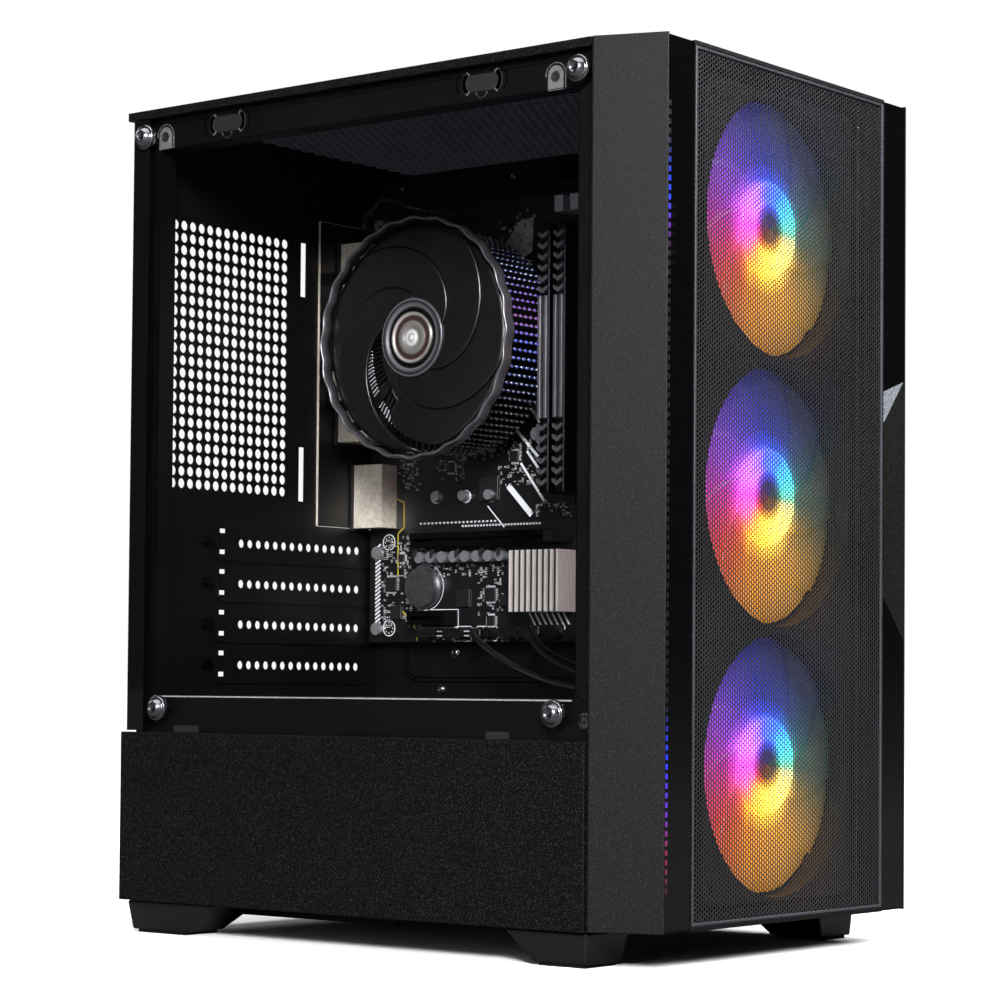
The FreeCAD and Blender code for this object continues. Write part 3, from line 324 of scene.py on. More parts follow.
def latticeTree():
    # a flat sheet of staggered holes: six-sided cells on a grid, joined and given a thickness
    tree, given = openTree("perforatedSheet", {"Columns": "Int", "Rows": "Int", "Pitch Across": "Float",
                                               "Pitch Up": "Float", "Thickness": "Float", "Hole Share": "Float"})
    count = addNode(tree, "ShaderNodeMath", {"operation": "MULTIPLY"}, {0: given["Columns"], 1: given["Rows"]})
    index = addNode(tree, "GeometryNodeInputIndex")
    share = addNode(tree, "ShaderNodeMath", {"operation": "DIVIDE"}, {0: index, 1: given["Rows"]})
    column = addNode(tree, "ShaderNodeMath", {"operation": "FLOOR"}, {0: share})
    row = addNode(tree, "ShaderNodeMath", {"operation": "MODULO"}, {0: index, 1: given["Rows"]})
    odd = addNode(tree, "ShaderNodeMath", {"operation": "MODULO", 1: 2.0}, {0: column})
    lift = addNode(tree, "ShaderNodeMath", {"operation": "MULTIPLY_ADD", 1: 0.5}, {0: odd, 2: row})
    across = addNode(tree, "ShaderNodeMath", {"operation": "MULTIPLY"}, {0: column, 1: given["Pitch Across"]})
    up = addNode(tree, "ShaderNodeMath", {"operation": "MULTIPLY"}, {0: lift, 1: given["Pitch Up"]})
    place = addNode(tree, "ShaderNodeCombineXYZ", None, {0: across, 1: up})
    points = addNode(tree, "GeometryNodePoints", None, {"Count": count, "Position": place})
    outer = addNode(tree, "GeometryNodeCurvePrimitiveCircle", {"Resolution": 6, "Radius": 1.0})
    inner = addNode(tree, "GeometryNodeCurvePrimitiveCircle", {"Resolution": 6},
                    {"Radius": given["Hole Share"]})
    both = addNode(tree, "GeometryNodeJoinGeometry", None, {0: outer})
    tree.links.new(inner.outputs[0], both.inputs[0])
    sizeAcross = addNode(tree, "ShaderNodeMath", {"operation": "MULTIPLY", 1: 2 / 3},
                         {0: given["Pitch Across"]})
    sizeUp = addNode(tree, "ShaderNodeMath", {"operation": "MULTIPLY", 1: 1 / sqrt(3)}, {0: given["Pitch Up"]})
    size = addNode(tree, "ShaderNodeCombineXYZ", {2: 1.0}, {0: sizeAcross, 1: sizeUp})
    filled = addNode(tree, "GeometryNodeFillCurve", None, {0: both})
    cell = addNode(tree, "GeometryNodeTransform", None, {0: filled, "Scale": size})
    spread = addNode(tree, "GeometryNodeInstanceOnPoints", None, {0: points, "Instance": cell})
    real = addNode(tree, "GeometryNodeRealizeInstances", None, {0: spread})
    sheet = addNode(tree, "GeometryNodeMergeByDistance", {"Distance": 0.02 * mm}, {0: real})
    raised = addNode(tree, "GeometryNodeExtrudeMesh", {"Individual": False},
                     {0: sheet, "Offset Scale": given["Thickness"]})
    back = addNode(tree, "GeometryNodeFlipFaces", None, {0: sheet})
    closed = addNode(tree, "GeometryNodeJoinGeometry", None, {0: raised})
    tree.links.new(back.outputs[0], closed.inputs[0])
    whole = addNode(tree, "GeometryNodeMergeByDistance", {"Distance": 0.02 * mm}, {0: closed})
    closeTree(tree, given, whole)
    return tree


def finTree():
    # upright fins round a centre, each with a chain of beads down its outer edge
    tree, given = openTree("radialFins", {"Count": "Int", "Inner Radius": "Float", "Outer Radius": "Float",
                                          "Depth": "Float", "Thickness": "Float", "Bead": "Float"})
    index = addNode(tree, "GeometryNodeInputIndex")
    turn = addNode(tree, "ShaderNodeMath", {"operation": "DIVIDE"}, {0: index, 1: given["Count"]})
    angle = addNode(tree, "ShaderNodeMath", {"operation": "MULTIPLY", 1: 2 * pi}, {0: turn})
    points = addNode(tree, "GeometryNodePoints", None, {"Count": given["Count"]})
    length = addNode(tree, "ShaderNodeMath", {"operation": "SUBTRACT"},
                     {0: given["Outer Radius"], 1: given["Inner Radius"]})
    middle = addNode(tree, "ShaderNodeMath", {"operation": "MULTIPLY_ADD", 1: 0.5},
                     {0: length, 2: given["Inner Radius"]})
    bladeSize = addNode(tree, "ShaderNodeCombineXYZ", None,
                        {0: length, 1: given["Thickness"], 2: given["Depth"]})
    blade = addNode(tree, "GeometryNodeMeshCube", None, {"Size": bladeSize})
    bladePlace = addNode(tree, "ShaderNodeCombineXYZ", None, {0: middle})
    parts = addNode(tree, "GeometryNodeJoinGeometry", None,
                    {0: addNode(tree, "GeometryNodeTransform", None, {0: blade, "Translation": bladePlace})})
    for share in (-0.44, -0.32, -0.2, -0.08, 0.04, 0.16, 0.28, 0.4):
        tip = addNode(tree, "GeometryNodeMeshUVSphere", {"Segments": 6, "Rings": 4}, {"Radius": given["Bead"]})
        drop = addNode(tree, "ShaderNodeMath", {"operation": "MULTIPLY", 1: share}, {0: given["Depth"]})
        tipPlace = addNode(tree, "ShaderNodeCombineXYZ", None, {0: given["Outer Radius"], 2: drop})
        moved = addNode(tree, "GeometryNodeTransform", {"Scale": (1.0, 1.0, 1.3)},
                        {0: tip, "Translation": tipPlace})
        tree.links.new(moved.outputs[0], parts.inputs[0])
    spin = addNode(tree, "ShaderNodeCombineXYZ", None, {2: angle})
    spread = addNode(tree, "GeometryNodeInstanceOnPoints", None, {0: points, "Instance": parts})
    tree.links.new(spin.outputs[0], spread.inputs["Rotation"])
    closeTree(tree, given, spread)
    return tree


def rowTree():
    # one small block repeated along X and Y, such as pins, pads, ridges or lamps
    tree, given = openTree("blockRows", {"Columns": "Int", "Rows": "Int", "Pitch": "Vector", "Size": "Vector"})
    count = addNode(tree, "ShaderNodeMath", {"operation": "MULTIPLY"}, {0: given["Columns"], 1: given["Rows"]})
    index = addNode(tree, "GeometryNodeInputIndex")
    share = addNode(tree, "ShaderNodeMath", {"operation": "DIVIDE"}, {0: index, 1: given["Columns"]})
    row = addNode(tree, "ShaderNodeMath", {"operation": "FLOOR"}, {0: share})
    column = addNode(tree, "ShaderNodeMath", {"operation": "MODULO"}, {0: index, 1: given["Columns"]})
    step = addNode(tree, "ShaderNodeCombineXYZ", None, {0: column, 1: row})
    place = addNode(tree, "ShaderNodeVectorMath", {"operation": "MULTIPLY"}, {0: step, 1: given["Pitch"]})
    points = addNode(tree, "GeometryNodePoints", None, {"Count": count, "Position": place})
    block = addNode(tree, "GeometryNodeMeshCube", None, {"Size": given["Size"]})
    spread = addNode(tree, "GeometryNodeInstanceOnPoints", None, {0: points, "Instance": block})
    closeTree(tree, given, spread)
    return tree


lattice = latticeTree()
radialFins = finTree()
blockRows = rowTree()


def runLattice(material, columns, rows, pitchAcross, pitchUp, thick, holeShare, turn):
    values = {"Columns": columns, "Rows": rows, "Pitch Across": pitchAcross * mm, "Pitch Up": pitchUp * mm,
              "Thickness": thick * mm, "Hole Share": holeShare, "Material": material}
    return runTree(lattice, values, turn)


def runRows(sketch, material, columns, rows, pitch, size, low, turn=Matrix.Identity(4)):
    # draws the repeated blocks into a sketch, the first one centred on low
    values = {"Columns": columns, "Rows": rows, "Pitch": Vector(pitch) * mm, "Size": Vector(size) * mm,
              "Material": None}
    mesh = runTree(blockRows, values, turn @ Matrix.Translation(Vector(low) * mm))
    bm = bmesh.new()
    bm.from_mesh(mesh)
    bmesh.ops.scale(bm, vec=(1 / mm,) * 3, verts=bm.verts)
    bpy.data.meshes.remove(mesh)
    sketch.take(bm, material)


def newMaterial(name):
    # a material with its tree, its shader and the coordinates that its patterns are drawn in
    material = bpy.data.materials.new(name)
    material.use_nodes = True
    tree = material.node_tree
    place = addNode(tree, "ShaderNodeTexCoord").outputs["Object"]
    return material, tree, tree.nodes["Principled BSDF"], place


def setStops(ramp, stops):
    # stops are (position, colour) pairs; the first and the last stand at 0 and 1
    ramp.elements[0].color = stops[0][1]
    ramp.elements[1].color = stops[-1][1]
    for position, color in stops[1:-1]:
        ramp.elements.new(position).color = color


def finish(name, color, rough, metal=0.0, grain=0.9, depth=0.03, spread=0.3, patch=45.0, stretch=(1, 1, 1),
           sparkle=0, **extra):
    # the common ground of every finish: grain is the size of its texture and depth its height, both in mm,
    # spread is how far the colour wanders, patch the size in mm of slow changes, stretch draws the grain out,
    # sparkle is how many times brighter the few highest grains are
    material, tree, shader, place = newMaterial(name)
    shader.inputs["Metallic"].default_value = metal
    for key, value in extra.items():
        shader.inputs[key.replace("_", " ")].default_value = value
    drawn = addNode(tree, "ShaderNodeMapping", {"Scale": stretch}, {"Vector": place})
    fine = addNode(tree, "ShaderNodeTexNoise", {"Scale": 1 / (grain * mm), "Detail": 3.0}, {"Vector": drawn})
    slow = addNode(tree, "ShaderNodeTexNoise", {"Scale": 1 / (patch * mm), "Detail": 2.0}, {"Vector": place})
    mixed = addNode(tree, "ShaderNodeMix", {"data_type": "FLOAT", "Factor": 0.0 if sparkle else 0.4},
                    {2: fine, 3: slow})
    tint = addNode(tree, "ShaderNodeValToRGB", None, {"Fac": mixed})
    base = hexColor(color)
    tint.color_ramp.elements[0].position = 0.36
    tint.color_ramp.elements[0].color = scaled(base, 1 - spread)
    tint.color_ramp.elements[1].position = 0.64
    tint.color_ramp.elements[1].color = scaled(base, 1 + spread)
    if sparkle:
        tint.color_ramp.elements[1].position = 0.57
        tint.color_ramp.elements.new(0.66).color = scaled(base, sparkle)
    tree.links.new(tint.outputs["Color"], shader.inputs["Base Color"])
    sheen = addNode(tree, "ShaderNodeMapRange", {1: 0.3, 2: 0.7, 3: rough * 0.85, 4: min(1.0, rough * 1.2)},
                    {0: mixed})
    tree.links.new(sheen.outputs[0], shader.inputs["Roughness"])
    bump = addNode(tree, "ShaderNodeBump", {"Strength": 0.9, "Distance": depth * mm}, {"Height": fine})
    tree.links.new(bump.outputs[0], shader.inputs["Normal"])
    return material


finishes = {
    # textured powder coat on steel sheet: near black, fine grit that sparkles a little; grit drawn coarse
    "powderCoat": finish("powder_coated_steel", "040404", 0.45, grain=0.65, depth=0.05, spread=0.5, sparkle=16,
                         Specular_IOR_Level=0.16),
    # the same coat inside the case, a little smoother
    "innerCoat": finish("powder_coated_inner_steel", "020203", 0.45, grain=0.9, depth=0.03, spread=0.4,
                        Specular_IOR_Level=0.25),
    # electro-galvanised steel: pale grey with a cloudy sheen
    "zinc": finish("galvanised_steel", "8f9094", 0.35, metal=1.0, grain=3.0, depth=0.005, spread=0.18),
    # moulded ABS with a fine spark-eroded grain, dark charcoal
    "grainedAbs": finish("spark_grained_abs", "050505", 0.5, grain=0.7, depth=0.06, spread=0.22, sparkle=8,
                         Specular_IOR_Level=0.18),
    # smooth black ABS, for frames and sockets
    "blackAbs": finish("moulded_black_abs", "0a0a0b", 0.32, grain=1.5, depth=0.004, spread=0.25),
    # polished black acrylic: deep and mirror-like
    "glossAcrylic": finish("polished_black_acrylic", "020203", 0.12, grain=2.5, depth=0.002, spread=0.2,
                           Specular_IOR_Level=0.25),
    "rubber": finish("black_rubber", "0b0b0b", 0.7, grain=0.8, depth=0.02, spread=0.25),
    # die-cast aluminium: dull and slightly grainy
    "castAluminium": finish("cast_aluminium", "8b8c8f", 0.48, metal=1.0, grain=1.2, depth=0.03, spread=0.15),
    # extruded aluminium, brushed along its length
    "aluminium": finish("extruded_aluminium", "a9acb2", 0.34, metal=0.8, grain=0.8, depth=0.01, spread=0.2,
                        stretch=(1, 1, 0.06)),
    "blackAluminium": finish("black_anodised_aluminium", "2a2b30", 0.34, metal=1.0, grain=0.9, depth=0.01,
                             spread=0.25, stretch=(1, 0.08, 1)),
    # fine woven nylon over a frame
    "nylonMesh": finish("woven_nylon_mesh", "0b0b0c", 0.6, grain=0.9, depth=0.08, spread=0.4),
    # glass fibre laminate under matt black solder mask
    "laminate": finish("solder_masked_laminate", "050609", 0.4, grain=1.6, depth=0.02, spread=0.45, patch=18.0),
    "brass": finish("turned_brass", "b08a45", 0.3, metal=1.0, grain=1.0, depth=0.006, spread=0.15),
    "nickel": finish("bright_nickel", "a9aaad", 0.28, metal=0.75, grain=1.5, depth=0.004, spread=0.12),
    # tin-plated shells of the sockets; their warm tint is a painted reflection of what they mirror
    "shellMetal": finish("tin_plated_steel", "e6dccf", 0.34, metal=0.4, grain=2.2, depth=0.006, spread=0.2),
    "greyPlastic": finish("moulded_grey_nylon", "8a8d92", 0.45, grain=1.2, depth=0.01, spread=0.2),
    "smokedSteel": finish("black_zinc_screws", "242428", 0.28, metal=1.0, grain=1.0, depth=0.006, spread=0.2),
    "jacket": finish("vinyl_cable_jacket", "08080a", 0.38, grain=1.2, depth=0.01, spread=0.3),
    "canSilver": finish("aluminium_can", "a4a6ac", 0.3, metal=0.75, grain=1.4, depth=0.004, spread=0.12),
    "whiteInk": finish("white_legend_ink", "d6dade", 0.55, grain=0.8, depth=0.004, spread=0.1),
    "yellowInk": finish("yellow_legend_ink", "b8a336", 0.55, grain=0.8, depth=0.004, spread=0.12),
    "epoxy": finish("black_moulding_epoxy", "121316", 0.4, grain=0.9, depth=0.01, spread=0.3),
    "solder": finish("tinned_solder", "d6d8dc", 0.35, metal=0.4, grain=0.8, depth=0.01, spread=0.15),
    "ceramic": finish("tan_ceramic_chip", "a0795a", 0.45, grain=0.7, depth=0.01, spread=0.25),
    "backsteel": finish("pressed_grey_steel", "6e7074", 0.38, metal=1.0, grain=1.6, depth=0.01, spread=0.15),
    "warmFins": finish("milled_aluminium_fins", "dad4d0", 0.35, metal=0.4, grain=0.9, depth=0.01, spread=0.15,
                       stretch=(1, 1, 0.08)),
}


def glassFinish():
    # tempered clear glass: almost nothing but a faint mirror of the lights and a neutral tint
    material, tree, shader, place = newMaterial("tempered_clear_glass")
    shader.inputs["Base Color"].default_value = hexColor("060607")
    shader.inputs["IOR"].default_value = 1.5
    haze = addNode(tree, "ShaderNodeTexNoise", {"Scale": 1 / (60 * mm), "Detail": 2.0}, {"Vector": place})
    soft = addNode(tree, "ShaderNodeMapRange", {3: 0.015, 4: 0.04}, {0: haze})
    tree.links.new(soft.outputs[0], shader.inputs["Roughness"])
    facing = addNode(tree, "ShaderNodeFresnel", {"IOR": 1.25})
    amount = addNode(tree, "ShaderNodeMapRange", {1: 0.0, 2: 1.0, 3: 0.015, 4: 0.4}, {0: facing})
    # a black printed border hides the rear edge
    apart = addNode(tree, "ShaderNodeSeparateXYZ", None, {0: place})
    border = addNode(tree, "ShaderNodeMath", {"operation": "GREATER_THAN", 1: 141.5 * mm},
                     {0: apart.outputs[1]})
    solid = addNode(tree, "ShaderNodeMath", {"operation": "MAXIMUM"}, {0: amount, 1: border})
    tree.links.new(solid.outputs[0], shader.inputs["Alpha"])
    return material


# the lamps' colours round the hub, as shares of a turn that starts at the left
rainbow = [(0.0, "c424a4"), (0.055, "dc306c"), (0.1, "e0403a"), (0.14, "e8601c"), (0.22, "f59a1e"),
           (0.32, "f0a832"), (0.42, "c9a040"), (0.49, "3f7f58"), (0.53, "2a9a86"), (0.59, "1f86b8"),
           (0.68, "1c4ce0"), (0.78, "2e35d8"), (0.86, "6a3ad8"), (0.93, "9c3ae0"), (1.0, "c424a4")]


def litFinish(name, centreX, reach, base):
    # milky blades lit from coloured lamps round the hub; hue runs with the angle, brightness with the radius
    material, tree, shader, place = newMaterial(name)
    shader.inputs["Base Color"].default_value = hexColor("3a3a40")
    shader.inputs["Roughness"].default_value = 0.4
    apart = addNode(tree, "ShaderNodeSeparateXYZ", None, {0: place})
    # the three fans stand one above another at an even pitch, so height is folded back to the nearest centre
    half = base["pitch"] / 2
    lifted = addNode(tree, "ShaderNodeMath", {"operation": "SUBTRACT", 1: (base["lowest"] - half) * mm},
                     {0: apart.outputs[2]})
    folded = addNode(tree, "ShaderNodeMath", {"operation": "MODULO", 1: base["pitch"] * mm}, {0: lifted})
    up = addNode(tree, "ShaderNodeMath", {"operation": "SUBTRACT", 1: half * mm}, {0: folded})
    side = addNode(tree, "ShaderNodeMath", {"operation": "SUBTRACT", 1: centreX * mm}, {0: apart.outputs[0]})
    angle = addNode(tree, "ShaderNodeMath", {"operation": "ARCTAN2"}, {0: up, 1: side})
    turn = addNode(tree, "ShaderNodeMapRange", {1: -pi, 2: pi, 3: 0.0, 4: 1.0}, {0: angle})
    hue = addNode(tree, "ShaderNodeValToRGB", None, {0: turn})
    setStops(hue.color_ramp, [(position, hexColor(color)) for position, color in rainbow])
    flat = addNode(tree, "ShaderNodeCombineXYZ", None, {0: side, 1: up})
    radius = addNode(tree, "ShaderNodeVectorMath", {"operation": "LENGTH"}, {0: flat})
    edge = reach[-1][0]
    spread = addNode(tree, "ShaderNodeMapRange", {1: 0.0, 2: edge * mm, 3: 0.0, 4: 1.0},
                     {0: radius.outputs["Value"]})
    glow = addNode(tree, "ShaderNodeValToRGB", None, {0: spread})
    setStops(glow.color_ramp, [(distance / edge, scaled([1, 1, 1], level)) for distance, level in reach])
    # the glow is painted dimmer towards the right and the top of each fan, a painted shade
    lean = addNode(tree, "ShaderNodeVectorMath", {"operation": "DOT_PRODUCT", 1: (0.78, 0.62, 0.0)}, {0: flat})
    dim = addNode(tree, "ShaderNodeMapRange", {1: -6 * mm, 2: 46 * mm, 3: 1.0, 4: 0.1},
                  {0: lean.outputs["Value"]})
    level = addNode(tree, "ShaderNodeMath", {"operation": "MULTIPLY"}, {0: glow, 1: dim})
    power = addNode(tree, "ShaderNodeMath", {"operation": "MULTIPLY", 1: base["strength"]}, {0: level})
    tree.links.new(hue.outputs[0], shader.inputs["Emission Color"])
    tree.links.new(power.outputs[0], shader.inputs["Emission Strength"])
    return material


frontFans = {"centres": [centreOf("front_fan_frame_%d" % (i + 1)) for i in range(3)], "blades": 9, "root": 21.0,
             "tip": 57.2, "span": 46.0, "sweep": 34.0, "thick": 1.1, "drop": 2.5}
fanSpacing = {"lowest": frontFans["centres"][0].z,
              "pitch": frontFans["centres"][1].z - frontFans["centres"][0].z, "strength": 15.0}
# how bright the blades are at each distance from the axis, in mm
litReach = [(0, 0.02), (6, 0.03), (9.5, 0.25), (12, 1.0), (20.5, 1.0), (23.5, 0.3), (30, 0.11), (46, 0.075),
            (60, 0.035)]
litBlades = litFinish("milky_lit_polycarbonate", frontFans["centres"][0].x, litReach, fanSpacing)
print("materials ready")


def bladeRow(sketch, place, count, inner, outer, span, sweep, height, drop, thick, gap, steps=(9, 8)):
    # wide swept blades round +Z; each is a thin sheet whose trailing edge sinks by drop
    across, along = steps
    for number in range(count):
        rows = []
        for i in range(across + 1):
            share = i / across
            radius = inner + (outer - inner) * share
            notch = gap(share, number)
            row = []
            for j in range(along + 1):
                done = j / along
                turn = radians(360 * number / count + sweep * share + notch + (span - notch) * done)
                rise = height(share) - drop * done * done
                row.append(place @ Vector((radius * cos(turn), radius * sin(turn), rise)))
            rows.append(row)
        sketch.grid(rows, thick, 0, place.to_3x3() @ Vector((0, 0, 1)))


def makeFrontFans():
    for number, centre in enumerate(frontFans["centres"]):
        node = "front_fan_rotor_%d" % (number + 1)
        low, high = spanOf(node)
        depth = high.y - low.y
        place = Matrix.Translation((centre.x, high.y, centre.z)) @ faceFront
        sketch = Sketch()
        bladeRow(sketch, place, frontFans["blades"], frontFans["root"], frontFans["tip"], frontFans["span"],
                 frontFans["sweep"], lambda share: depth - 2.0 - 1.5 * share, frontFans["drop"],
                 frontFans["thick"], lambda share, number: 0.0)
        sketch.lathe([(0, depth - 0.6), (12, depth - 0.6), (15.5, depth - 1.2), (17.5, depth),
                      (21.2, depth - 0.2), (22, depth - 2.2), (22, 1.5), (21, 0.8), (3, 0.8), (3, depth - 3),
                      (0, depth - 3)], 48, 0, place)
        finishPiece("lit_fan_rotor_%d" % (number + 1), sketch, [litBlades], bodyOf[node], [node])


makeFrontFans()
print("front fans ready")


frontMesh = {"pitchAcross": 1.8, "pitchUp": 2.1, "thick": 0.28, "holeShare": 0.78, "border": 1.3, "bands": 4}


def makeFrontMesh():
    low, high = spanOf("front_mesh")
    wide, tall = high.x - low.x, high.z - low.z
    columns = floor((wide - frontMesh["border"]) / frontMesh["pitchAcross"])
    rows = floor((tall - frontMesh["border"]) / frontMesh["pitchUp"])
    left = -(columns - 1) / 2 * frontMesh["pitchAcross"]
    bottom = (low.z + high.z) / 2 - (rows - 0.5) / 2 * frontMesh["pitchUp"]
    done = 0
    for band in range(frontMesh["bands"]):
        count = (rows - done) // (frontMesh["bands"] - band)
        start = Vector((left, high.y - 0.1, bottom + done * frontMesh["pitchUp"]))
        mesh = runLattice(meshSteel, columns, count, frontMesh["pitchAcross"], frontMesh["pitchUp"],
                          frontMesh["thick"], frontMesh["holeShare"], Matrix.Translation(start * mm) @ faceFront)
        finishPiece("steel_mesh_%d" % (band + 1), mesh, [meshSteel], "front_bezel", ["front_mesh"])
        done += count
    rim = Sketch()
    left, right = low.x + frontMesh["border"], high.x - frontMesh["border"]
    bottom, top = low.z + frontMesh["border"], high.z - frontMesh["border"]
    for x0, x1, z0, z1 in ((low.x, left, low.z, high.z), (right, high.x, low.z, high.z),
                           (left, right, low.z, bottom), (left, right, top, high.z)):
        rim.box((x0, low.y, z0), (x1, high.y, z1), 0, 0.25)
    finishPiece("mesh_rim", rim, [meshRim], "front_bezel")


# painted steel mesh: satin black that catches pale dots of light between the holes
meshSteel = finish("painted_steel_mesh", "2e2e30", 0.36, metal=0.3, grain=1.2, depth=0.01, spread=0.2)
meshRim = finish("painted_mesh_rim", "3a3b42", 0.4, metal=0.3, grain=1.2, depth=0.01, spread=0.2)
makeFrontMesh()
print("front mesh ready")


def radialFinish(name, centre, stops, rough, metal):
    # turned or moulded rings round an axis along X: the colour follows the distance from the axis
    material, tree, shader, place = newMaterial(name)
    shader.inputs["Metallic"].default_value = metal
    reach = stops[-1][0]
    apart = addNode(tree, "ShaderNodeSeparateXYZ", None, {0: place})
    side = addNode(tree, "ShaderNodeMath", {"operation": "SUBTRACT", 1: centre.y * mm}, {0: apart.outputs[1]})
    up = addNode(tree, "ShaderNodeMath", {"operation": "SUBTRACT", 1: centre.z * mm}, {0: apart.outputs[2]})
    flat = addNode(tree, "ShaderNodeCombineXYZ", None, {0: side, 1: up})
    radius = addNode(tree, "ShaderNodeVectorMath", {"operation": "LENGTH"}, {0: flat})
    share = addNode(tree, "ShaderNodeMapRange", {1: 0.0, 2: reach * mm, 3: 0.0, 4: 1.0},
                    {0: radius.outputs["Value"]})
    rings = addNode(tree, "ShaderNodeValToRGB", None, {0: share})
    setStops(rings.color_ramp, [(distance / reach, hexColor(color)) for distance, color in stops])
    tree.links.new(rings.outputs[0], shader.inputs["Base Color"])
    fine = addNode(tree, "ShaderNodeTexNoise", {"Scale": 1 / (1.2 * mm), "Detail": 2.0}, {"Vector": place})
    sheen = addNode(tree, "ShaderNodeMapRange", {1: 0.3, 2: 0.7, 3: rough * 0.85, 4: rough * 1.2}, {0: fine})
    tree.links.new(sheen.outputs[0], shader.inputs["Roughness"])
    return material


cooler = {"waves": 24, "waveHeight": 0.55, "rimRadius": 60.4, "rimWall": 1.5, "blades": 5, "bladeRoot": 18.5,
          "bladeTip": 56.6, "sweep": 118.0, "gap": 46.0, "bladeThick": 1.0, "fins": 84, "finThick": 0.4,
          "finBead": 0.9, "hubRadius": 19.8,
          # painted reflection on the fin tips: what they mirror of the lit fans, from the lowest tip to the highest
          "paintedTipReflection": [(0, "000000"), (0.2, "0c0c10"), (0.36, "2c3a78"), (0.47, "3a4bb4"), (0.56, "7a4488"),
                        (0.64, "5a3a92"), (0.78, "1c2458"), (1, "000000")]}


def makeCooler():
    rotorLow, rotorHigh = spanOf("cooler_fan_rotor")
    frameLow, frameHigh = spanOf("cooler_fan_frame")
    sinkLow, sinkHigh = spanOf("cooler_heatsink")
    centre = centreOf("cooler_fan_frame")
    # the waved rim, with a thin flange behind and the arms that carry the motor
    place = Matrix.Translation((frameHigh.x, centre.y, centre.z)) @ faceSide
    deep = frameHigh.x - frameLow.x
    rim = Sketch()
    outer, wall = cooler["rimRadius"], cooler["rimWall"]
    profile = [(outer - wall, 3.6), (outer - 0.3, 3.6), (outer, 4.2), (outer, deep - 0.9),
               (outer - 0.35, deep - 0.2), (outer - 0.75, deep), (outer - wall + 0.3, deep - 0.2),
               (outer - wall, deep - 0.8)]
    rim.lathe(profile, 288, 0, place, lambda angle: cooler["waveHeight"] * cos(cooler["waves"] * angle), True)
    rim.lathe([(0, 0.2), (19, 0.2), (19, 1.6), (0, 1.6)], 48, 1, place)
    rim.turn = place
    for number in range(4):
        rim.turn = place @ Matrix.Rotation(radians(45 + 90 * number), 4, "Z")
        rim.box((18, -2.5, 0.2), (outer - 0.6, 2.5, 1.6), 1, 0.3)
        rim.box((outer - 2.6, -2.5, 0.2), (outer - 0.6, 2.5, 4.0), 1, 0.3)
    rim.turn = Matrix.Identity(4)
    finishPiece("cooler_rim", rim, [rimMetal, finishes["blackAbs"]], "root", ["cooler_fan_frame"])
    # the rotor: wide swept blades that leave a narrow crescent between them, and a ringed hub
    place = Matrix.Translation((rotorHigh.x, centre.y, centre.z)) @ faceSide
    tall = rotorHigh.x - rotorLow.x
    rotor = Sketch()

    def notch(share, number):
        # one opening is wide where it starts; the other blades nearly touch
        return 0.7 + (13 + cooler["gap"] * exp(-((share - 0.28) / 0.25) ** 2) if number == 0 else 0)

    bladeRow(rotor, place @ Matrix.Rotation(radians(155), 4, "Z"), cooler["blades"], cooler["bladeRoot"],
             cooler["bladeTip"], 360 / cooler["blades"], cooler["sweep"],
             lambda share: tall - 1.4 - 2.6 * share ** 1.5, 0.5, cooler["bladeThick"],
             notch, (16, 22))
    hub = cooler["hubRadius"]
    rotor.lathe([(0, tall - 0.6), (2.2, tall - 0.6), (2.6, tall - 0.9), (5.0, tall - 0.9), (5.3, tall - 0.5),
                 (8.4, tall - 0.5), (8.8, tall - 0.9), (11.4, tall - 0.9), (11.8, tall - 0.15),
                 (12.7, tall - 0.15), (13.0, tall - 1.2), (15.2, tall - 1.2), (15.8, tall - 0.2), (17.4, tall),
                 (18.2, tall - 0.7), (19.0, tall - 0.2), (hub, tall - 0.8), (hub, 1.0), (hub - 1, 0.6), (3, 0.6),
                 (3, tall - 3.0), (0, tall - 3.0)], 72, 1, place)
    finishPiece("cooler_blades", rotor, [discPlastic, hubMetal], "cooler_rotor",
                ["cooler_fan_rotor"])
    # the fin stack, and the core that stands on the processor
    middle = (sinkLow.x + sinkHigh.x - 10) / 2
    place = Matrix.Translation((middle * mm, centre.y * mm, centre.z * mm)) @ faceSide
    reach = (sinkHigh.z - sinkLow.z) / 2
    values = {"Count": cooler["fins"], "Inner Radius": 17 * mm, "Outer Radius": (reach - 1.2) * mm,
              "Depth": (sinkHigh.x - 10 - sinkLow.x) * mm, "Thickness": cooler["finThick"] * mm,
              "Bead": cooler["finBead"] * mm, "Material": finMetalPaintedReflection}
    finishPiece("cooler_fins", runTree(radialFins, values, place), [finMetalPaintedReflection], "root",
                ["cooler_heatsink"])
    # folded ends of the front fins: a comb of bars outside and a chain of beads inside, in the bright edge metal, a
    # painted highlight
    comb = Sketch()
    bars = [(166 + 3.1 * i, 30 + 16 * (i / 31) ** 2, 4.4, 0.7) for i in range(32)]
    beads = [(205 + 2.4 * i, 21 + 20 * (i / 30) ** 1.3, 1.3, 1.2) for i in range(31)]
    for turn, radius, long, wide in bars + beads:
        comb.turn = (Matrix.Translation((sinkLow.x - 0.05, centre.y, centre.z)) @ faceSide
                     @ Matrix.Translation((-5.5, 0, 0)) @ Matrix.Rotation(radians(turn), 4, "Z"))
        comb.box((radius - long / 2, -wide / 2, -0.8), (radius + long / 2, wide / 2, 0), 0, 0.2)
    finishPiece("fin_ends", comb, [edgeSteel], "root")
    core = Sketch()
    place = Matrix.Translation((sinkHigh.x, centre.y, centre.z)) @ faceSide
    core.lathe([(0, 0), (17.5, 0), (18.5, 1), (18.5, 42), (17, 43.5), (0, 43.5)], 48, 0, place)
    finishPiece("cooler_core", core, [finishes["aluminium"]], "root")


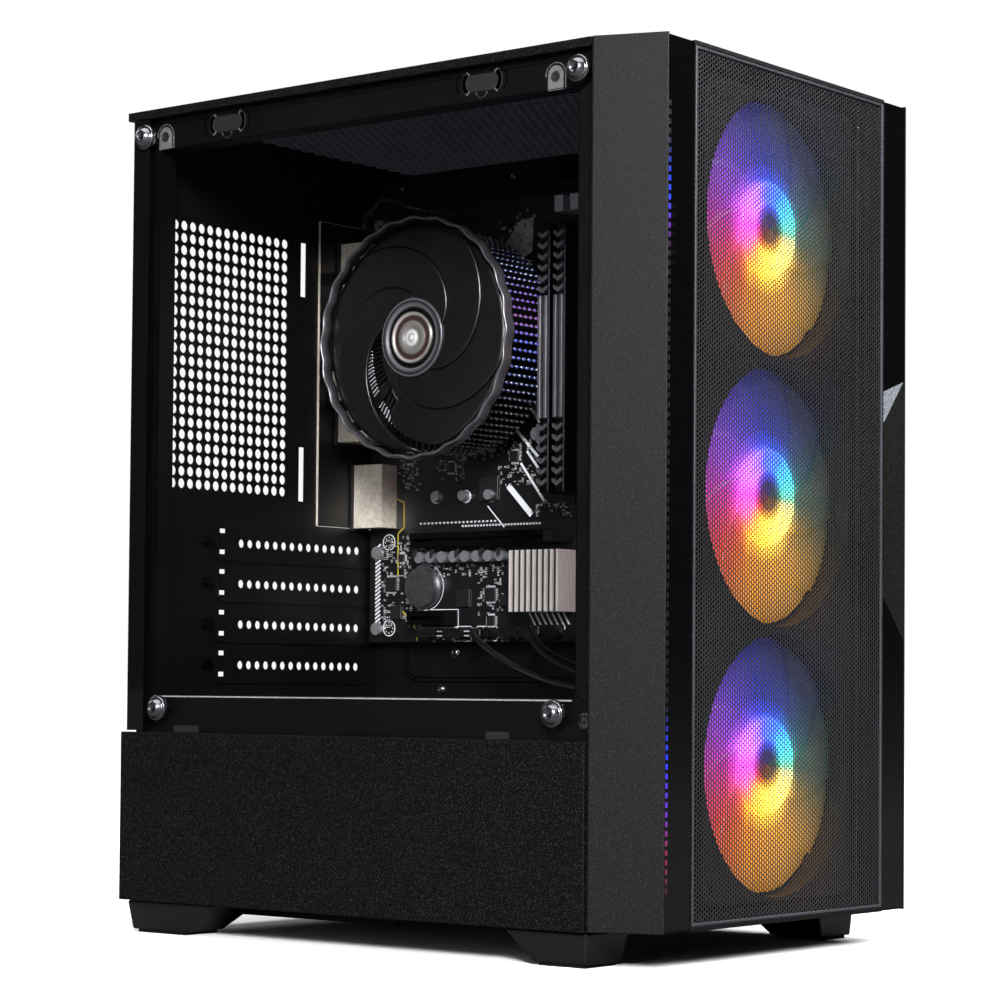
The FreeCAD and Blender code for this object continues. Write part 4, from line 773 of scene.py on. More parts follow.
def finPaintedReflectionFinish():
    # bare aluminium fins, whose outer ends carry a painted reflection of blue, violet and rose from the lit fans
    material = finish("aluminium_fins_painted_reflection", "8f9196", 0.32, metal=1.0, grain=1.2, depth=0.005, spread=0.2)
    tree = material.node_tree
    shader = tree.nodes["Principled BSDF"]
    centre = centreOf("cooler_heatsink")
    reach = spanOf("cooler_heatsink")[1].z - centre.z
    place = addNode(tree, "ShaderNodeTexCoord").outputs["Object"]
    apart = addNode(tree, "ShaderNodeSeparateXYZ", None, {0: place})
    share = addNode(tree, "ShaderNodeMapRange",
                    {1: (centre.z - reach) * mm, 2: (centre.z + reach) * mm, 3: 0, 4: 1}, {0: apart.outputs[2]})
    hue = addNode(tree, "ShaderNodeValToRGB", None, {0: share})
    setStops(hue.color_ramp, [(position, hexColor(color)) for position, color in cooler["paintedTipReflection"]])
    tree.links.new(hue.outputs[0], shader.inputs["Emission Color"])
    ahead = addNode(tree, "ShaderNodeMapRange",
                    {1: (centre.y - 30) * mm, 2: (centre.y - 52) * mm, 3: 0.0, 4: 1.6}, {0: apart.outputs[1]})
    # only the tips take the painted reflection
    middle = addNode(tree, "ShaderNodeVectorMath",
                     {"operation": "SUBTRACT", 1: (0, centre.y * mm, centre.z * mm)}, {0: place})
    flat = addNode(tree, "ShaderNodeVectorMath", {"operation": "MULTIPLY", 1: (0, 1, 1)}, {0: middle})
    radius = addNode(tree, "ShaderNodeVectorMath", {"operation": "LENGTH"}, {0: flat})
    tip = addNode(tree, "ShaderNodeMath", {"operation": "GREATER_THAN", 1: (reach - 0.9) * mm},
                  {0: radius.outputs["Value"]})
    power = addNode(tree, "ShaderNodeMath", {"operation": "MULTIPLY"}, {0: tip, 1: ahead})
    tree.links.new(power.outputs[0], shader.inputs["Emission Strength"])
    return material


# a bright metal for edges that catch the light: a painted highlight
edgeSteel = finish("bright_edge_painted_highlight", "b4b6bc", 0.35, metal=0.4, grain=2.0, depth=0.002, spread=0.25)
# anodised rim: satin grey metal that shows a bright line along each wave
rimMetal = finish("satin_anodised_rim", "77777c", 0.36, metal=0.8, grain=2.5, depth=0.001, spread=0.15)
# blades of smoked, highly polished plastic
discPlastic = finish("smoked_polished_plastic", "040405", 0.34, grain=2.0, depth=0.003, spread=0.2,
                     Specular_IOR_Level=0.7)
hubMetal = radialFinish("spun_hub_rings", centreOf("cooler_fan_frame"),
                        [(0, "ffffff"), (1.2, "f4f4f4"), (1.9, "9a9a98"), (2.4, "f0f0ee"), (3.4, "e8e8e6"),
                         (4.6, "8d8c8a"), (8.2, "7c7876"), (8.9, "3a2c2c"), (10.8, "4a3636"), (11.6, "b8b4b2"),
                         (12.6, "8a8684"), (13.0, "040404"), (15.0, "050505"), (15.8, "77777c"), (17.2, "4c4c52"),
                         (18.2, "0a0a0b"), (19.0, "6f6f76"), (20.0, "1a1a1c")], 0.34, 0.5)
finMetalPaintedReflection = finPaintedReflectionFinish()
makeCooler()
print("cooler ready")


memory = {"wide": 5.6, "railHeight": 2.6, "railWidth": 1.9, "chevrons": 6, "chevronPitch": 5.4,
          "chevronTall": 3.9}


def makeMemory():
    low, high = spanOf("memory_modules")
    half = memory["wide"] / 2
    ridge = low.x + memory["railHeight"] + 0.2
    run = memory["chevrons"] * memory["chevronPitch"] + 4
    sticks = Sketch()
    for middle in (low.y + half + 0.2, high.y - half - 0.2):
        sticks.box((low.x + memory["railHeight"], middle - half, low.z), (high.x - 4, middle + half, high.z),
                   0, 0.5)
        sticks.box((high.x - 5, middle - 0.6, low.z + 1), (high.x, middle + 0.6, high.z - 1), 2)
        for side in (-1, 1):
            near, far = sorted((middle + side * half, middle + side * (half - memory["railWidth"])))
            sticks.box((low.x + 0.4, near, low.z + run), (ridge, far, high.z - run), 1, 0.35)
        sticks.turn = Matrix.Translation((ridge, middle, 0)) @ faceSide
        for number in range(memory["chevrons"]):
            for base in (low.z + 3, high.z + 1 - run):
                up = base + number * memory["chevronPitch"]
                tall = memory["chevronTall"]
                outline = [(-half, up + tall * 0.5), (0, up), (half, up + tall * 0.5), (half, up + tall),
                           (0, up + tall * 0.55), (-half, up + tall)]
                sticks.prism(outline, 0, memory["railHeight"] - 0.3, 1)
        sticks.turn = Matrix.Identity(4)
    finishPiece("memory_spreaders", sticks, [finishes["blackAluminium"], railMetal, finishes["laminate"]],
                bodyOf["memory_modules"], ["memory_modules"])


# brushed dark rails of the memory covers: they shine along their length
railMetal = finish("brushed_gunmetal", "6b696e", 0.3, metal=0.6, grain=0.9, depth=0.006, spread=0.2,
                   stretch=(1, 1, 0.1))
makeMemory()
print("memory ready")


def stroke(sketch, points, width, height, material):
    # a flat line of ink or copper through points given as distances back and up
    for (y0, z0), (y1, z1) in zip(points, points[1:]):
        along = Vector((z1 - z0, y0 - y1)).normalized() * width / 2
        ends = Vector((y1 - y0, z1 - z0)).normalized() * width / 2
        corners = [(y0 - ends.x + along.x, z0 - ends.y + along.y),
                   (y0 - ends.x - along.x, z0 - ends.y - along.y),
                   (y1 + ends.x - along.x, z1 + ends.y - along.y),
                   (y1 + ends.x + along.x, z1 + ends.y + along.y)]
        sketch.prism([(-y, z) for y, z in corners], 0, height, material)


def ringOf(sketch, y, z, radius, width, height, material):
    sketch.lathe([(radius - width, 0), (radius, 0), (radius, height), (radius - width, height)], 24, material,
                 Matrix.Translation((-y, z, 0)), closed=True)


board = {"seed": 11, "inkHigh": 0.06, "grid": 1.55,
         # areas packed with small chips: back from, back to, up from, up to, how many
         "clusters": [(131, 139, 150, 196, 90), (119, 130, 176, 198, 46), (60, 112, 176, 183, 60),
                      (57, 74, 158, 182, 64), (41, 50, 158, 178, 44), (38, 62, 222, 246, 74),
                      (82, 101, 226, 240, 34), (114, 128, 222, 250, 60), (112, 126, 150, 172, 40),
                      (48, 110, 142.5, 149.5, 60), (14, 40, 206, 214, 30), (40, 62, 330, 362, 56),
                      (64, 86, 236, 248, 26), (96, 112, 186, 198, 20)],
         # larger chips: back, up and size
         "chips": [(131.6, 172.3, 7.5), (65.1, 166.1, 7.0), (64.4, 152.8, 5.0), (45.5, 166, 4.5), (92, 232, 5.0),
                   (50, 236, 5.5), (124.5, 186, 4.0), (120, 238, 5.0)]}


def drawChip(sketch, y, z, size, pins):
    # a square package with rows of tinned legs on all four sides
    half = size / 2
    sketch.box((-y - half, z - half, 0.1), (-y + half, z + half, 1.3), 2, 0.15)
    pitch = size / (pins + 1)
    for number in range(pins):
        at = -half + pitch * (number + 1)
        for side in (-1, 1):
            near, far = sorted((side * half, side * (half + 1.0)))
            sketch.box((-y + near, z + at - 0.18, 0), (-y + far, z + at + 0.18, 0.35), 3)
            sketch.box((-y + at - 0.18, z + near, 0), (-y + at + 0.18, z + far, 0.35), 3)


def makeBoardDetail():
    low, high = spanOf("motherboard")
    rng = random.Random(board["seed"])
    detail = Sketch()
    detail.turn = Matrix.Translation((low.x, 0, 0)) @ faceSide
    ink = board["inkHigh"]
    taken = set()
    for back, farther, down, up, count in board["clusters"]:
        for again in range(count):
            # parts stand on a placement grid, and a place is used once
            column = floor(rng.uniform(back, farther) / board["grid"])
            row = floor(rng.uniform(down, up) / board["grid"])
            if (column, row) in taken:
                continue
            taken.add((column, row))
            y, z = column * board["grid"], row * board["grid"]
            wide, tall = rng.choice(((1.1, 0.55), (0.55, 1.1), (0.8, 0.45), (1.3, 0.8), (0.8, 1.3)))
            body = rng.choice((2, 2, 2, 4, 6))
            lift = rng.uniform(0.3, 0.7)
            flat = wide > tall
            detail.box((-y - wide / 2, z - tall / 2, 0), (-y + wide / 2, z + tall / 2, lift), body)
            for side in (-1, 1):
                shift = (Vector((wide, 0)) if flat else Vector((0, tall))) * side * 0.38
                reach = Vector((0.12 * wide, tall / 2 + 0.05))
                if not flat:
                    reach = Vector((wide / 2 + 0.05, 0.12 * tall))
                detail.box((-y + shift.x - reach.x, z + shift.y - reach.y, 0),
                           (-y + shift.x + reach.x, z + shift.y + reach.y, lift + 0.05), 3)
            if rng.random() < 0.3:
                stroke(detail, [(y - 0.6, z - tall / 2 - 0.35), (y + 0.6, z - tall / 2 - 0.35)], 0.22, ink, 0)
    for y, z, size in board["chips"]:
        drawChip(detail, y, z, size, 7)
    # the gold line that fences off the sound circuit, and its second leg
    stroke(detail, [(143.8, 217.9), (129.3, 217.4), (123.8, 215.1), (123.6, 202.0), (127.7, 199.0),
                    (127.5, 176.4)], 0.7, ink, 1)
    stroke(detail, [(124.5, 158.6), (114.2, 148.1), (114.2, 142.9)], 0.7, ink, 1)
    # slanted bars beside the memory and above the graphics slot
    for y0, z0, y1, z1, width in ((53.3, 220.2, 40.3, 207.1, 3.2), (67.5, 211.1, 57.0, 200.5, 0.6),
                                  (46, 232, 31.4, 212.9, 1.4), (42, 238, 27, 219, 1.4), (49, 249, 36, 236, 1.6),
                                  (44.6, 266.6, 34.9, 253.4, 1.8), (38, 246, 24, 228, 1.6)):
        stroke(detail, [(y0, z0), (y1, z1)], width, ink, 0)
    for number in range(7):
        stroke(detail, [(40 - 3.6 * number, 156), (34 - 3.6 * number, 146.5)], 1.0, ink, 0)
    # frames round the slots, the headers and the battery
    for y0, y1, z0, z1 in ((86.5, 112.5, 149.3, 158.7), (61, 74, 142.4, 149.9), (78, 89, 142.4, 149.9)):
        stroke(detail, [(y0, z0), (y1, z0), (y1, z1), (y0, z1), (y0, z0)], 0.35, ink, 0)
    ringOf(detail, 108.5, 170.4, 12.2, 0.35, ink, 0)
    for y, z in ((133.9, 194.4), (133.4, 149.3)):
        ringOf(detail, y, z, 4.3, 0.5, ink, 0)
        for number in range(8):
            angle = 2 * pi * number / 8
            detail.box((-y + 2.6 * cos(angle) - 0.35, z + 2.6 * sin(angle) - 0.35, 0),
                       (-y + 2.6 * cos(angle) + 0.35, z + 2.6 * sin(angle) + 0.35, 0.1), 3)
    for y, z in ((102.0, 216.9), (82.0, 216.7), (64.9, 216.6)):
        ringOf(detail, y, z, 3.4, 1.0, 0.1, 3)
        detail.lathe([(0, 0), (2.2, 0), (2.2, 1.6), (1.2, 1.8), (1.2, 0.6), (0, 0.6)], 20, 3,
                     Matrix.Translation((-y, z, 0)))
    # the field of white printed ground at the upper corner of the memory
    detail.prism([(-39.0, 357.6), (-40.1, 339.9), (-47.1, 336.4), (-53.6, 337.5), (-58.2, 344.0),
                  (-48.6, 355.9)], 0, ink, 5)
    # pads below the graphics slot, the barred strip at the rear edge and the rows of header pins
    runRows(detail, 3, 26, 1, (2.0, 0, 0), (1.2, 1.0, 0.1), (-84, 201.6, 0.05))
    runRows(detail, 3, 20, 1, (2.6, 0, 0), (1.0, 0.9, 0.5), (-112, 203.6, 0.25))
    for number in range(22):
        stroke(detail, [(142.8, 148.4 + 2.05 * number), (140.0, 150.2 + 2.05 * number)], 0.9, ink, 0)
    for start in (-110, -96, -84, -72):
        runRows(detail, 3, 5, 2, (2.0, 2.3, 0), (0.6, 0.6, 5.0), (start, 145, 3.2))
    detail.turn = Matrix.Identity(4)
    finishPiece("board_detail", detail,
                [finishes["whiteInk"], finishes["yellowInk"], finishes["epoxy"], finishes["solder"],
                 finishes["ceramic"], finishes["paleInk"], finishes["backsteel"]], "root")


finishes["paleInk"] = finish("printed_grey_ground", "84898a", 0.5, grain=1.5, depth=0.01, spread=0.6, patch=5.0)
makeBoardDetail()
print("board ready")


fittings = {"screwHead": 6.0, "ledPitch": 4.0, "ledRows": 84, "deckPitch": 4.8, "deckHole": 0.84,
            "deckCells": (31, 41), "frameFace": -105, "trayFace": 70, "cards": 4, "cardPitch": 20.32,
            # the lamps' colours at each height
            "ledColors": [(0, "000000"), (30, "000000"), (40, "5a1424"), (52, "7a1a3c"), (66, "5a22a0"),
                          (88, "1c34e0"), (104, "101c70"), (110, "000000"), (298, "000000"), (306, "2a0a1c"),
                          (314, "5a1c90"), (325, "1f3ce8"), (336, "1a34d0"), (346, "0c1a60"), (352, "000000"),
                          (400, "000000")]}


def drawRingedScrew(sketch, place, radius, tall):
    # a domed head with a raised ring and a six-sided socket
    profile = [(radius, 0), (radius, tall * 0.35), (radius * 0.95, tall * 0.5), (radius * 0.86, tall * 0.56),
               (radius * 0.8, tall * 0.46), (radius * 0.74, tall * 0.56), (radius * 0.6, tall * 0.86),
               (radius * 0.45, tall * 0.98), (radius * 0.34, tall)]
    sketch.lathe([(0, 0)] + profile + [(radius * 0.3, tall * 0.9), (0, tall * 0.88)], 36, 0, place)
    sketch.lathe([(0, tall * 0.6), (radius * 0.24, tall * 0.6), (radius * 0.24, tall * 0.885), (0, tall * 0.885)],
                 6, 1, place)


def makeSideScrews():
    low, high = spanOf("glass_thumbscrews")
    screws = Sketch()
    plate = spanOf("side_glass")[0].x
    for y, z in ((143.3, 382.8), (-118.0, 382.8), (130.4, 107.5), (-106.8, 107.5)):
        place = Matrix.Translation((plate, y, z)) @ faceSide
        drawRingedScrew(screws, place, fittings["screwHead"], plate - low.x)
        screws.lathe([(0, -7.8), (1.6, -7.8), (2, -7.2), (2, 0.1), (0, 0.1)], 20, 0, place)
    finishPiece("ringed_screws", screws, [screwSteel, finishes["rubber"]], "glass_panel",
                ["glass_thumbscrews"])
    # the small screws on the frame and on the board tray, and the spare post
    small = Sketch()
    outside, inside = fittings["frameFace"], fittings["trayFace"]
    for x, y, z, radius, tall in ((outside, -119, 104.7, 3.4, 0.35), (inside, 104.1, 117.5, 2.6, 1.8),
                                  (inside, 134.1, 382.7, 1.8, 1.8), (inside, 58.7, 381.2, 1.8, 1.8),
                                  (inside, 94.9, 136.7, 3.0, 1.8)):
        drawRingedScrew(small, Matrix.Translation((x, y, z)) @ faceSide, radius, tall)
    finishPiece("tray_screws", small, [screwSteel, finishes["rubber"]], "root")


def arc(y, z, radius, start, stop):
    # points on a circle in the plane of the side, as distances back and up
    steps = 14
    turns = [radians(start + (stop - start) * i / steps) for i in range(steps + 1)]
    return [(y + radius * cos(turn), z + radius * sin(turn)) for turn in turns]


def makeFramePressings():
    # tabs, keyhole slots and rails pressed in the side frame and the tray; relief is thin, under the glass
    relief = Sketch()
    relief.turn = Matrix.Translation((fittings["frameFace"], 0, 0)) @ faceSide
    for y, z in ((135.3, 382.6), (-101.5, 382.0)):
        outline = [(y - 4.2, z - 5.6)] + arc(y, z + 1, 4.2, 180, 0) + [(y + 4.2, z - 5.6)]
        relief.prism([(-back, up) for back, up in outline], 0, 0.12, 0)
        stroke(relief, [(y - 5.4, z - 5.2)] + arc(y, z + 1, 5.4, 180, 0), 0.5, 0.16, 0)
        relief.lathe([(0, 0.1), (2.4, 0.1), (2.4, 0.26), (1.7, 0.3), (1.4, 0.14), (0, 0.14)], 24, 1,
                     Matrix.Translation((-y, z + 0.4, 0)))
    for start, stop in ((107.2, 81.7), (-47.9, -72.8)):
        relief.prism([(-start + 2, 381.2), (-stop - 2, 381.2), (-stop - 2, 389.2), (-start + 2, 389.2)],
                     0, 0.06, 1)
        for y, lean in ((start, 1), (start - 4.5, 1), (stop + 4.0, -1), (stop, -1)):
            if y in (start, stop):
                stroke(relief, arc(y - lean * 3, 385.2, 5.0, 90 - lean * 35, 90 - lean * 145), 0.5, 0.14, 2)
            else:
                stroke(relief, arc(y - lean * 3, 385.2, 5.0, 90 - lean * 40, 90 - lean * 140), 2.1, 0.16, 0)
        middle = (start + stop) / 2
        stroke(relief, arc(middle, 381.4, 3.2, 200, 340), 0.5, 0.14, 0)
    stroke(relief, [(149, 388.9), (-120, 388.9)], 0.35, 0.12, 2)
    for low, high in ((108.4, 125), (-78.6, -65.8)):
        relief.prism([(-high, 96.2), (-low, 96.2), (-low, 99.4), (-high, 99.4)], 0, 0.08, 1)
    # a bright line along the lower rail of the frame, a painted highlight on its edge
    stroke(relief, [(138, 113.2), (-112, 113.2)], 0.6, 0.3, 3)
    stroke(relief, [(138.4, 114), (138.4, 376)], 0.35, 0.2, 2)
    stroke(relief, [(138, 376.9), (-114, 376.9)], 0.35, 0.2, 2)
    stroke(relief, [(-114.4, 376.6), (-114.4, 116), (-118, 113), (-122, 113)], 0.35, 0.2, 2)
    finishPiece("frame_pressings", relief,
                [finishes["nickel"], finishes["rubber"], finishes["smokedSteel"], edgeSteel], "root")
    tray = Sketch()
    tray.turn = Matrix.Translation((fittings["trayFace"], 0, 0)) @ faceSide
    for shift in (0, 2.2):
        stroke(tray, [(127.5 + shift, 142.1), (127.3 + shift, 126.3 - shift * 0.5), (121.1, 123.7 - shift),
                      (-60, 124.0 - shift)], 0.7, 0.5, 0)
    finishPiece("tray_pressings", tray, [finishes["smokedSteel"]], "root")


def makeDeckHoles():
    # the vented part of the deck, seen from below
    pitch = fittings["deckPitch"]
    low = spanOf("top_deck")[0]
    start = Vector((-74, -86, low.z - 0.1)) * mm
    columns, rows = fittings["deckCells"]
    mesh = runLattice(ventSteelPaintedGlow, columns, rows, pitch, pitch * 1.1, 0.5, fittings["deckHole"],
                      Matrix.Translation(start) @ Matrix.Diagonal((1, 1, -1, 1)))
    mesh.flip_normals()
    finishPiece("deck_vents", mesh, [ventSteelPaintedGlow], "root")


def ledFinish():
    # a strip of coloured lamps seen at the edge of the trim: blue, then violet, then a dying red
    material = finish("edge_lit_acrylic", "101014", 0.3, grain=1.0, depth=0.002, spread=0.1)
    tree = material.node_tree
    place = addNode(tree, "ShaderNodeTexCoord").outputs["Object"]
    apart = addNode(tree, "ShaderNodeSeparateXYZ", None, {0: place})
    share = addNode(tree, "ShaderNodeMapRange", {1: 0.0, 2: 400 * mm, 3: 0.0, 4: 1.0}, {0: apart.outputs[2]})
    hue = addNode(tree, "ShaderNodeValToRGB", None, {0: share})
    setStops(hue.color_ramp, [(height / 400, hexColor(color)) for height, color in fittings["ledColors"]])
    tree.links.new(hue.outputs[0], tree.nodes["Principled BSDF"].inputs["Emission Color"])
    tree.nodes["Principled BSDF"].inputs["Emission Strength"].default_value = 1.6
    return material


def makeTrimDetails():
    front = spanOf("bezel_trim")[0].y
    strip = Sketch()
    turn = Matrix.Translation((0, front * mm, 0)) @ faceFront
    pitch = (0, fittings["ledPitch"], 0)
    runRows(strip, 0, 1, fittings["ledRows"], pitch, (1.4, 2.3, 0.2), (-96.2, 34, 0.1), turn)
    runRows(strip, 1, 1, 7, pitch, (2.4, 1.6, 0.12), (-93.2, 298.6, 0.06), turn)
    finishPiece("edge_lamps", strip, [ledFinish(), finishes["smokedSteel"]], "front_bezel")
    accent = Sketch()
    accent.turn = Matrix.Translation((0, front, 0)) @ faceFront
    accent.prism([(95.9, 264.3), (78.5, 244.2), (78.5, 258.4)], 0, 0.38, 0)
    accent.prism([(96.9, 264.0), (96.9, 142.1), (78.5, 162.0), (78.5, 243.4)], 0, 0.3, 1)
    finishPiece("trim_accent", accent, [accentSilver, finishes["grainedAbs"]], "front_bezel")


def smoothPath(points, rounds=3):
    # corner cutting keeps the ends and stays inside the corners of the route
    path = [Vector(point) for point in points]
    for again in range(rounds):
        cutPath = [path[0]]
        for before, after in zip(path, path[1:]):
            cutPath += [before.lerp(after, 0.25), before.lerp(after, 0.75)]
        path = cutPath + [path[-1]]
    return path


leads = {"data": [(49.5, 24, 147.2), (42, 24, 147.2), (36, 20, 144), (33, 10, 136), (34, -8, 128),
                  (37, -28, 122), (40, -46, 117), (42, -50, 108), (44, -50, 96), (44, -50, 84)],
         "panel": [(50.5, 65, 146.5), (46, 65, 146.5), (43, 60, 143), (42, 48, 136), (42, 30, 127),
                   (41, 8, 120.5), (41, -16, 117.6), (41, -36, 115.2), (38, -43, 106), (34, -46, 94), (30, -46, 84)],
         "fan": [(11.5, 108, 350), (16, 113, 356), (22, 113, 362), (22, 107, 368), (22, 97, 365.5), (22, 87, 361),
                 (30, 78, 359), (46, 70, 358)]}


def makeLeads():
    # a flat data cable, a bundle of thin wires, and the ribbed lead of the cooler fan
    data = Sketch()
    path = smoothPath(leads["data"])
    rows = []
    for index, point in enumerate(path):
        ahead = (path[min(index + 1, len(path) - 1)] - path[max(index - 1, 0)]).normalized()
        side = ahead.cross(Vector((0.93, 0.1, 0.35))).normalized()
        up = side.cross(ahead)
        rows.append([point + side * a + up * b
                     for a, b in ((-2.6, 0), (-2.3, 0.55), (0, 0.55), (2.3, 0.55), (2.6, 0))])
    data.grid(rows, 1.0, 0, Vector((-0.93, 0, -0.35)))
    data.box((43.5, 20.5, 144.6), (49.5, 27.5, 149.6), 0, 0.6)
    finishPiece("flat_data_cable", data, [dataJacket], bodyOf["sata_cable"],
                ["sata_cable"])
    bundle = Sketch()
    path = smoothPath(leads["panel"], 2)
    for number in range(5):
        angle = 2 * pi * number / 5
        wire = [point + Vector((0.4, cos(angle + i * 0.12), sin(angle + i * 0.12)))
                for i, point in enumerate(path)]
        bundle.tube(wire, 0.62, 7, number % 2)
    bundle.box((47.5, 61, 144.4), (52.5, 67, 148.4), 0, 0.4)
    finishPiece("panel_wires", bundle, [finishes["jacket"], finishes["rubber"]], bodyOf["front_panel_cable"],
                ["front_panel_cable"])
    ribbed = Sketch()
    path = smoothPath(leads["fan"])
    ribbed.tube(path, 1.5, 10, 0)
    length = 0.0
    for before, after in zip(path, path[1:]):
        length += (after - before).length
        if length > 1.7:
            length = 0.0
            turn = Vector((0, 0, 1)).rotation_difference(after - before).to_matrix().to_4x4()
            ribbed.lathe([(1.3, -0.45), (2.1, -0.45), (2.1, 0.45), (1.3, 0.45)], 12, 0,
                         Matrix.Translation(before) @ turn, closed=True)
    finishPiece("cooler_fan_lead", ribbed, [finishes["jacket"]], "root")


# each rear socket: the height of its middle, how tall it is and how far it stands out from the board
ports = {"audio": (218.2, 33, 12), "network": (254, 16, 25), "lowUsb": (275, 15, 30), "highUsb": (296, 15, 30),
         "video": (320, 18, 22), "mouse": (343, 14, 24)}


def makePortSeals():
    # black foam round the rear end of each socket closes the gap to the shield
    seals = Sketch()
    face = spanOf("motherboard")[0].x
    front, shield = 148.2, 149.46
    for middle, tall, out in ports.values():
        near, low, high = face - out, middle - tall / 2, middle + tall / 2
        seals.box((near - 1.6, front, low - 1.3), (near - 0.02, shield, high + 1.3), 0)
        seals.box((near - 0.02, front, low - 1.3), (face, shield, low - 0.02), 0)
        seals.box((near - 0.02, front, high + 0.02), (face, shield, high + 1.3), 0)
        # pressed ribs on the shell
        if out > 20:
            for share in (0.25, 0.75):
                at = low + tall * share
                seals.box((near - 0.25, 131.5, at - 0.9), (near - 0.01, 141.5, at + 0.9), 1, 0.1)
    seals.box((21.3, 148.9, 201.7), (22.2, shield, 360.3), 1)
    finishPiece("port_seals", seals, [finishes["rubber"], finishes["shellMetal"]], "root")


def makeBoardCaps():
    # the printed half on top of each capacitor
    marks = Sketch()
    face = spanOf("board_components")[0].x
    marks.turn = Matrix.Translation((face, 0, 0)) @ faceSide
    for y in (107.8, 96.4, 79.8, 64.0, 52.3):
        marks.prism([(-back, up) for back, up in arc(y, 187.0, 2.5, -60, 120)], 0, 0.06, 0)
    marks.turn = Matrix.Identity(4)
    # black tops of the larger chips
    for y, z, wide in ((78, 160, 9), (124, 154, 7), (60, 214, 12), (52, 160, 6)):
        marks.box((59.7, y - 0.1, z - 0.1), (61.45, y + wide + 0.1, z + wide + 0.1), 1, 0.2)
    # dark blocks in the valleys of the chipset heatsink, a painted shade between the fins
    low, high = spanOf("chipset_heatsink")
    for number in range(8):
        marks.box((low.x + 1.3, low.y + 1.42 + 3.7 * number, low.z + 0.1),
                  (high.x - 4, low.y + 3.68 + 3.7 * number, high.z - 0.1), 0)
    finishPiece("can_marks_and_painted_fin_shade", marks, [finishes["rubber"], finishes["epoxy"]], "root")


def makeButtonCap():
    # a shallow dished cap with a fine rim; hollow below so that it can travel
    low, high = spanOf("power_button")
    cap = Sketch()
    radius = (high.x - low.x) / 2
    cap.lathe([(0, 1.7), (radius - 1.4, 1.8), (radius - 0.9, 2.0), (radius - 0.3, 2.0), (radius, 1.7),
               (radius, 0), (radius - 1, 0), (radius - 1, 0.9), (0, 0.9)], 48, 0,
              Matrix.Translation(((low.x + high.x) / 2, (low.y + high.y) / 2, high.z - 2.0)))
    finishPiece("power_cap", cap, [finishes["glossAcrylic"]], bodyOf["power_button"],
                ["power_button"])


def carveSlotMarks():
    # hooked openings beside each card slot, through the covers and the rear panel
    shape = Sketch()
    low = spanOf("slot_covers")[0]
    for number in range(fittings["cards"]):
        z = low.z + 9.2 + number * fittings["cardPitch"]
        shape.turn = faceFront
        shape.prism([(-50.8, z - 5.8), (-45.2, z - 5.8), (-45.2, z - 3.5), (-50.0, z - 3.5), (-50.0, z + 4.7),
                     (-45.2, z + 4.7), (-45.2, z + 7.0), (-50.8, z + 7.0)], -152, -147)
        # the folded tabs are left off, since they would stand in front
        shape.turn = Matrix.Identity(4)
        shape.box((-54.6, 140, z - 8), (-50.92, 148.3, z + 8))
    bmesh.ops.transform(shape.bm, matrix=Matrix.Scale(mm, 4), verts=shape.bm.verts)
    bmesh.ops.recalc_face_normals(shape.bm, faces=shape.bm.faces)
    for node in ("slot_covers", "rear_panel"):
        carved(node, shape.bm, finishes["innerCoat"])
    shape.bm.free()


# blackened screw steel, polished enough to show a bright ring
screwSteel = finish("polished_black_screws", "77777c", 0.24, metal=1.0, grain=1.2, depth=0.003, spread=0.12)
accentSilver = finish("sparkling_silver_paint", "8b9098", 0.42, metal=0.5, grain=0.7, depth=0.03, spread=0.35,
                      sparkle=1.8)
# a faint painted glow on the vent steel stands in for daylight spilling round the edges of the holes
ventSteelPaintedGlow = finish("vent_steel_painted_daylight", "1c1c20", 0.4, metal=0.3, grain=1.6, depth=0.01, spread=0.3,
                   Emission_Color=hexColor("9aa0b4"), Emission_Strength=0.03)
dataJacket = finish("flat_cable_jacket", "0c0a0c", 0.34, grain=1.5, depth=0.008, spread=0.3)
makeSideScrews()
makeFramePressings()
makeDeckHoles()
makeTrimDetails()
makeLeads()
makePortSeals()
makeBoardCaps()
makeButtonCap()
carveSlotMarks()
print("fittings ready")


slotFinish = {
    "black_steel": "innerCoat", "bare_steel": "zinc", "black_plastic": "blackAbs", "black_rubber": "rubber",
    "drive_metal": "castAluminium", "drive_shell": "blackAluminium", "gloss_black_plastic": "glossAcrylic",
    "filter_mesh": "nylonMesh", "board_laminate": "laminate", "brass_posts": "brass", "bare_screws": "nickel",
    "socket_metal": "nickel", "grey_plastic": "greyPlastic", "memory_cover": "blackAluminium",
    "heatsink_aluminium": "aluminium", "component_cans": "canSilver", "port_shells": "shellMetal",
    "black_aluminium": "blackAluminium", "cooler_ring": "blackAluminium", "bezel_plastic": "grainedAbs",
    "mesh_steel": "backsteel", "trim_gloss": "glossAcrylic", "black_screws": "smokedSteel",
    "cable_jacket": "jacket", "lit_fan_plastic": "blackAbs",
}
nodeFinish = {"io_shield": "innerCoat", "chipset_heatsink": "warmFins"}
glass = glassFinish()
for node, thing in nodes.items():
    chosen = glass if slotOf(node) == "clear_glass" else finishes[nodeFinish.get(node, slotFinish[slotOf(node)])]
    thing.data.materials.clear()
    thing.data.materials.append(chosen)

# outer skins get softened edges that catch the light
for node, width in (("front_bezel", 0.6), ("lower_side_cover", 0.8), ("top_cover", 0.8), ("feet", 0.8)):
    softened(node, width, finishes[{"front_bezel": "grainedAbs", "feet": "blackAbs"}.get(node, "powderCoat")])
print("skins ready")


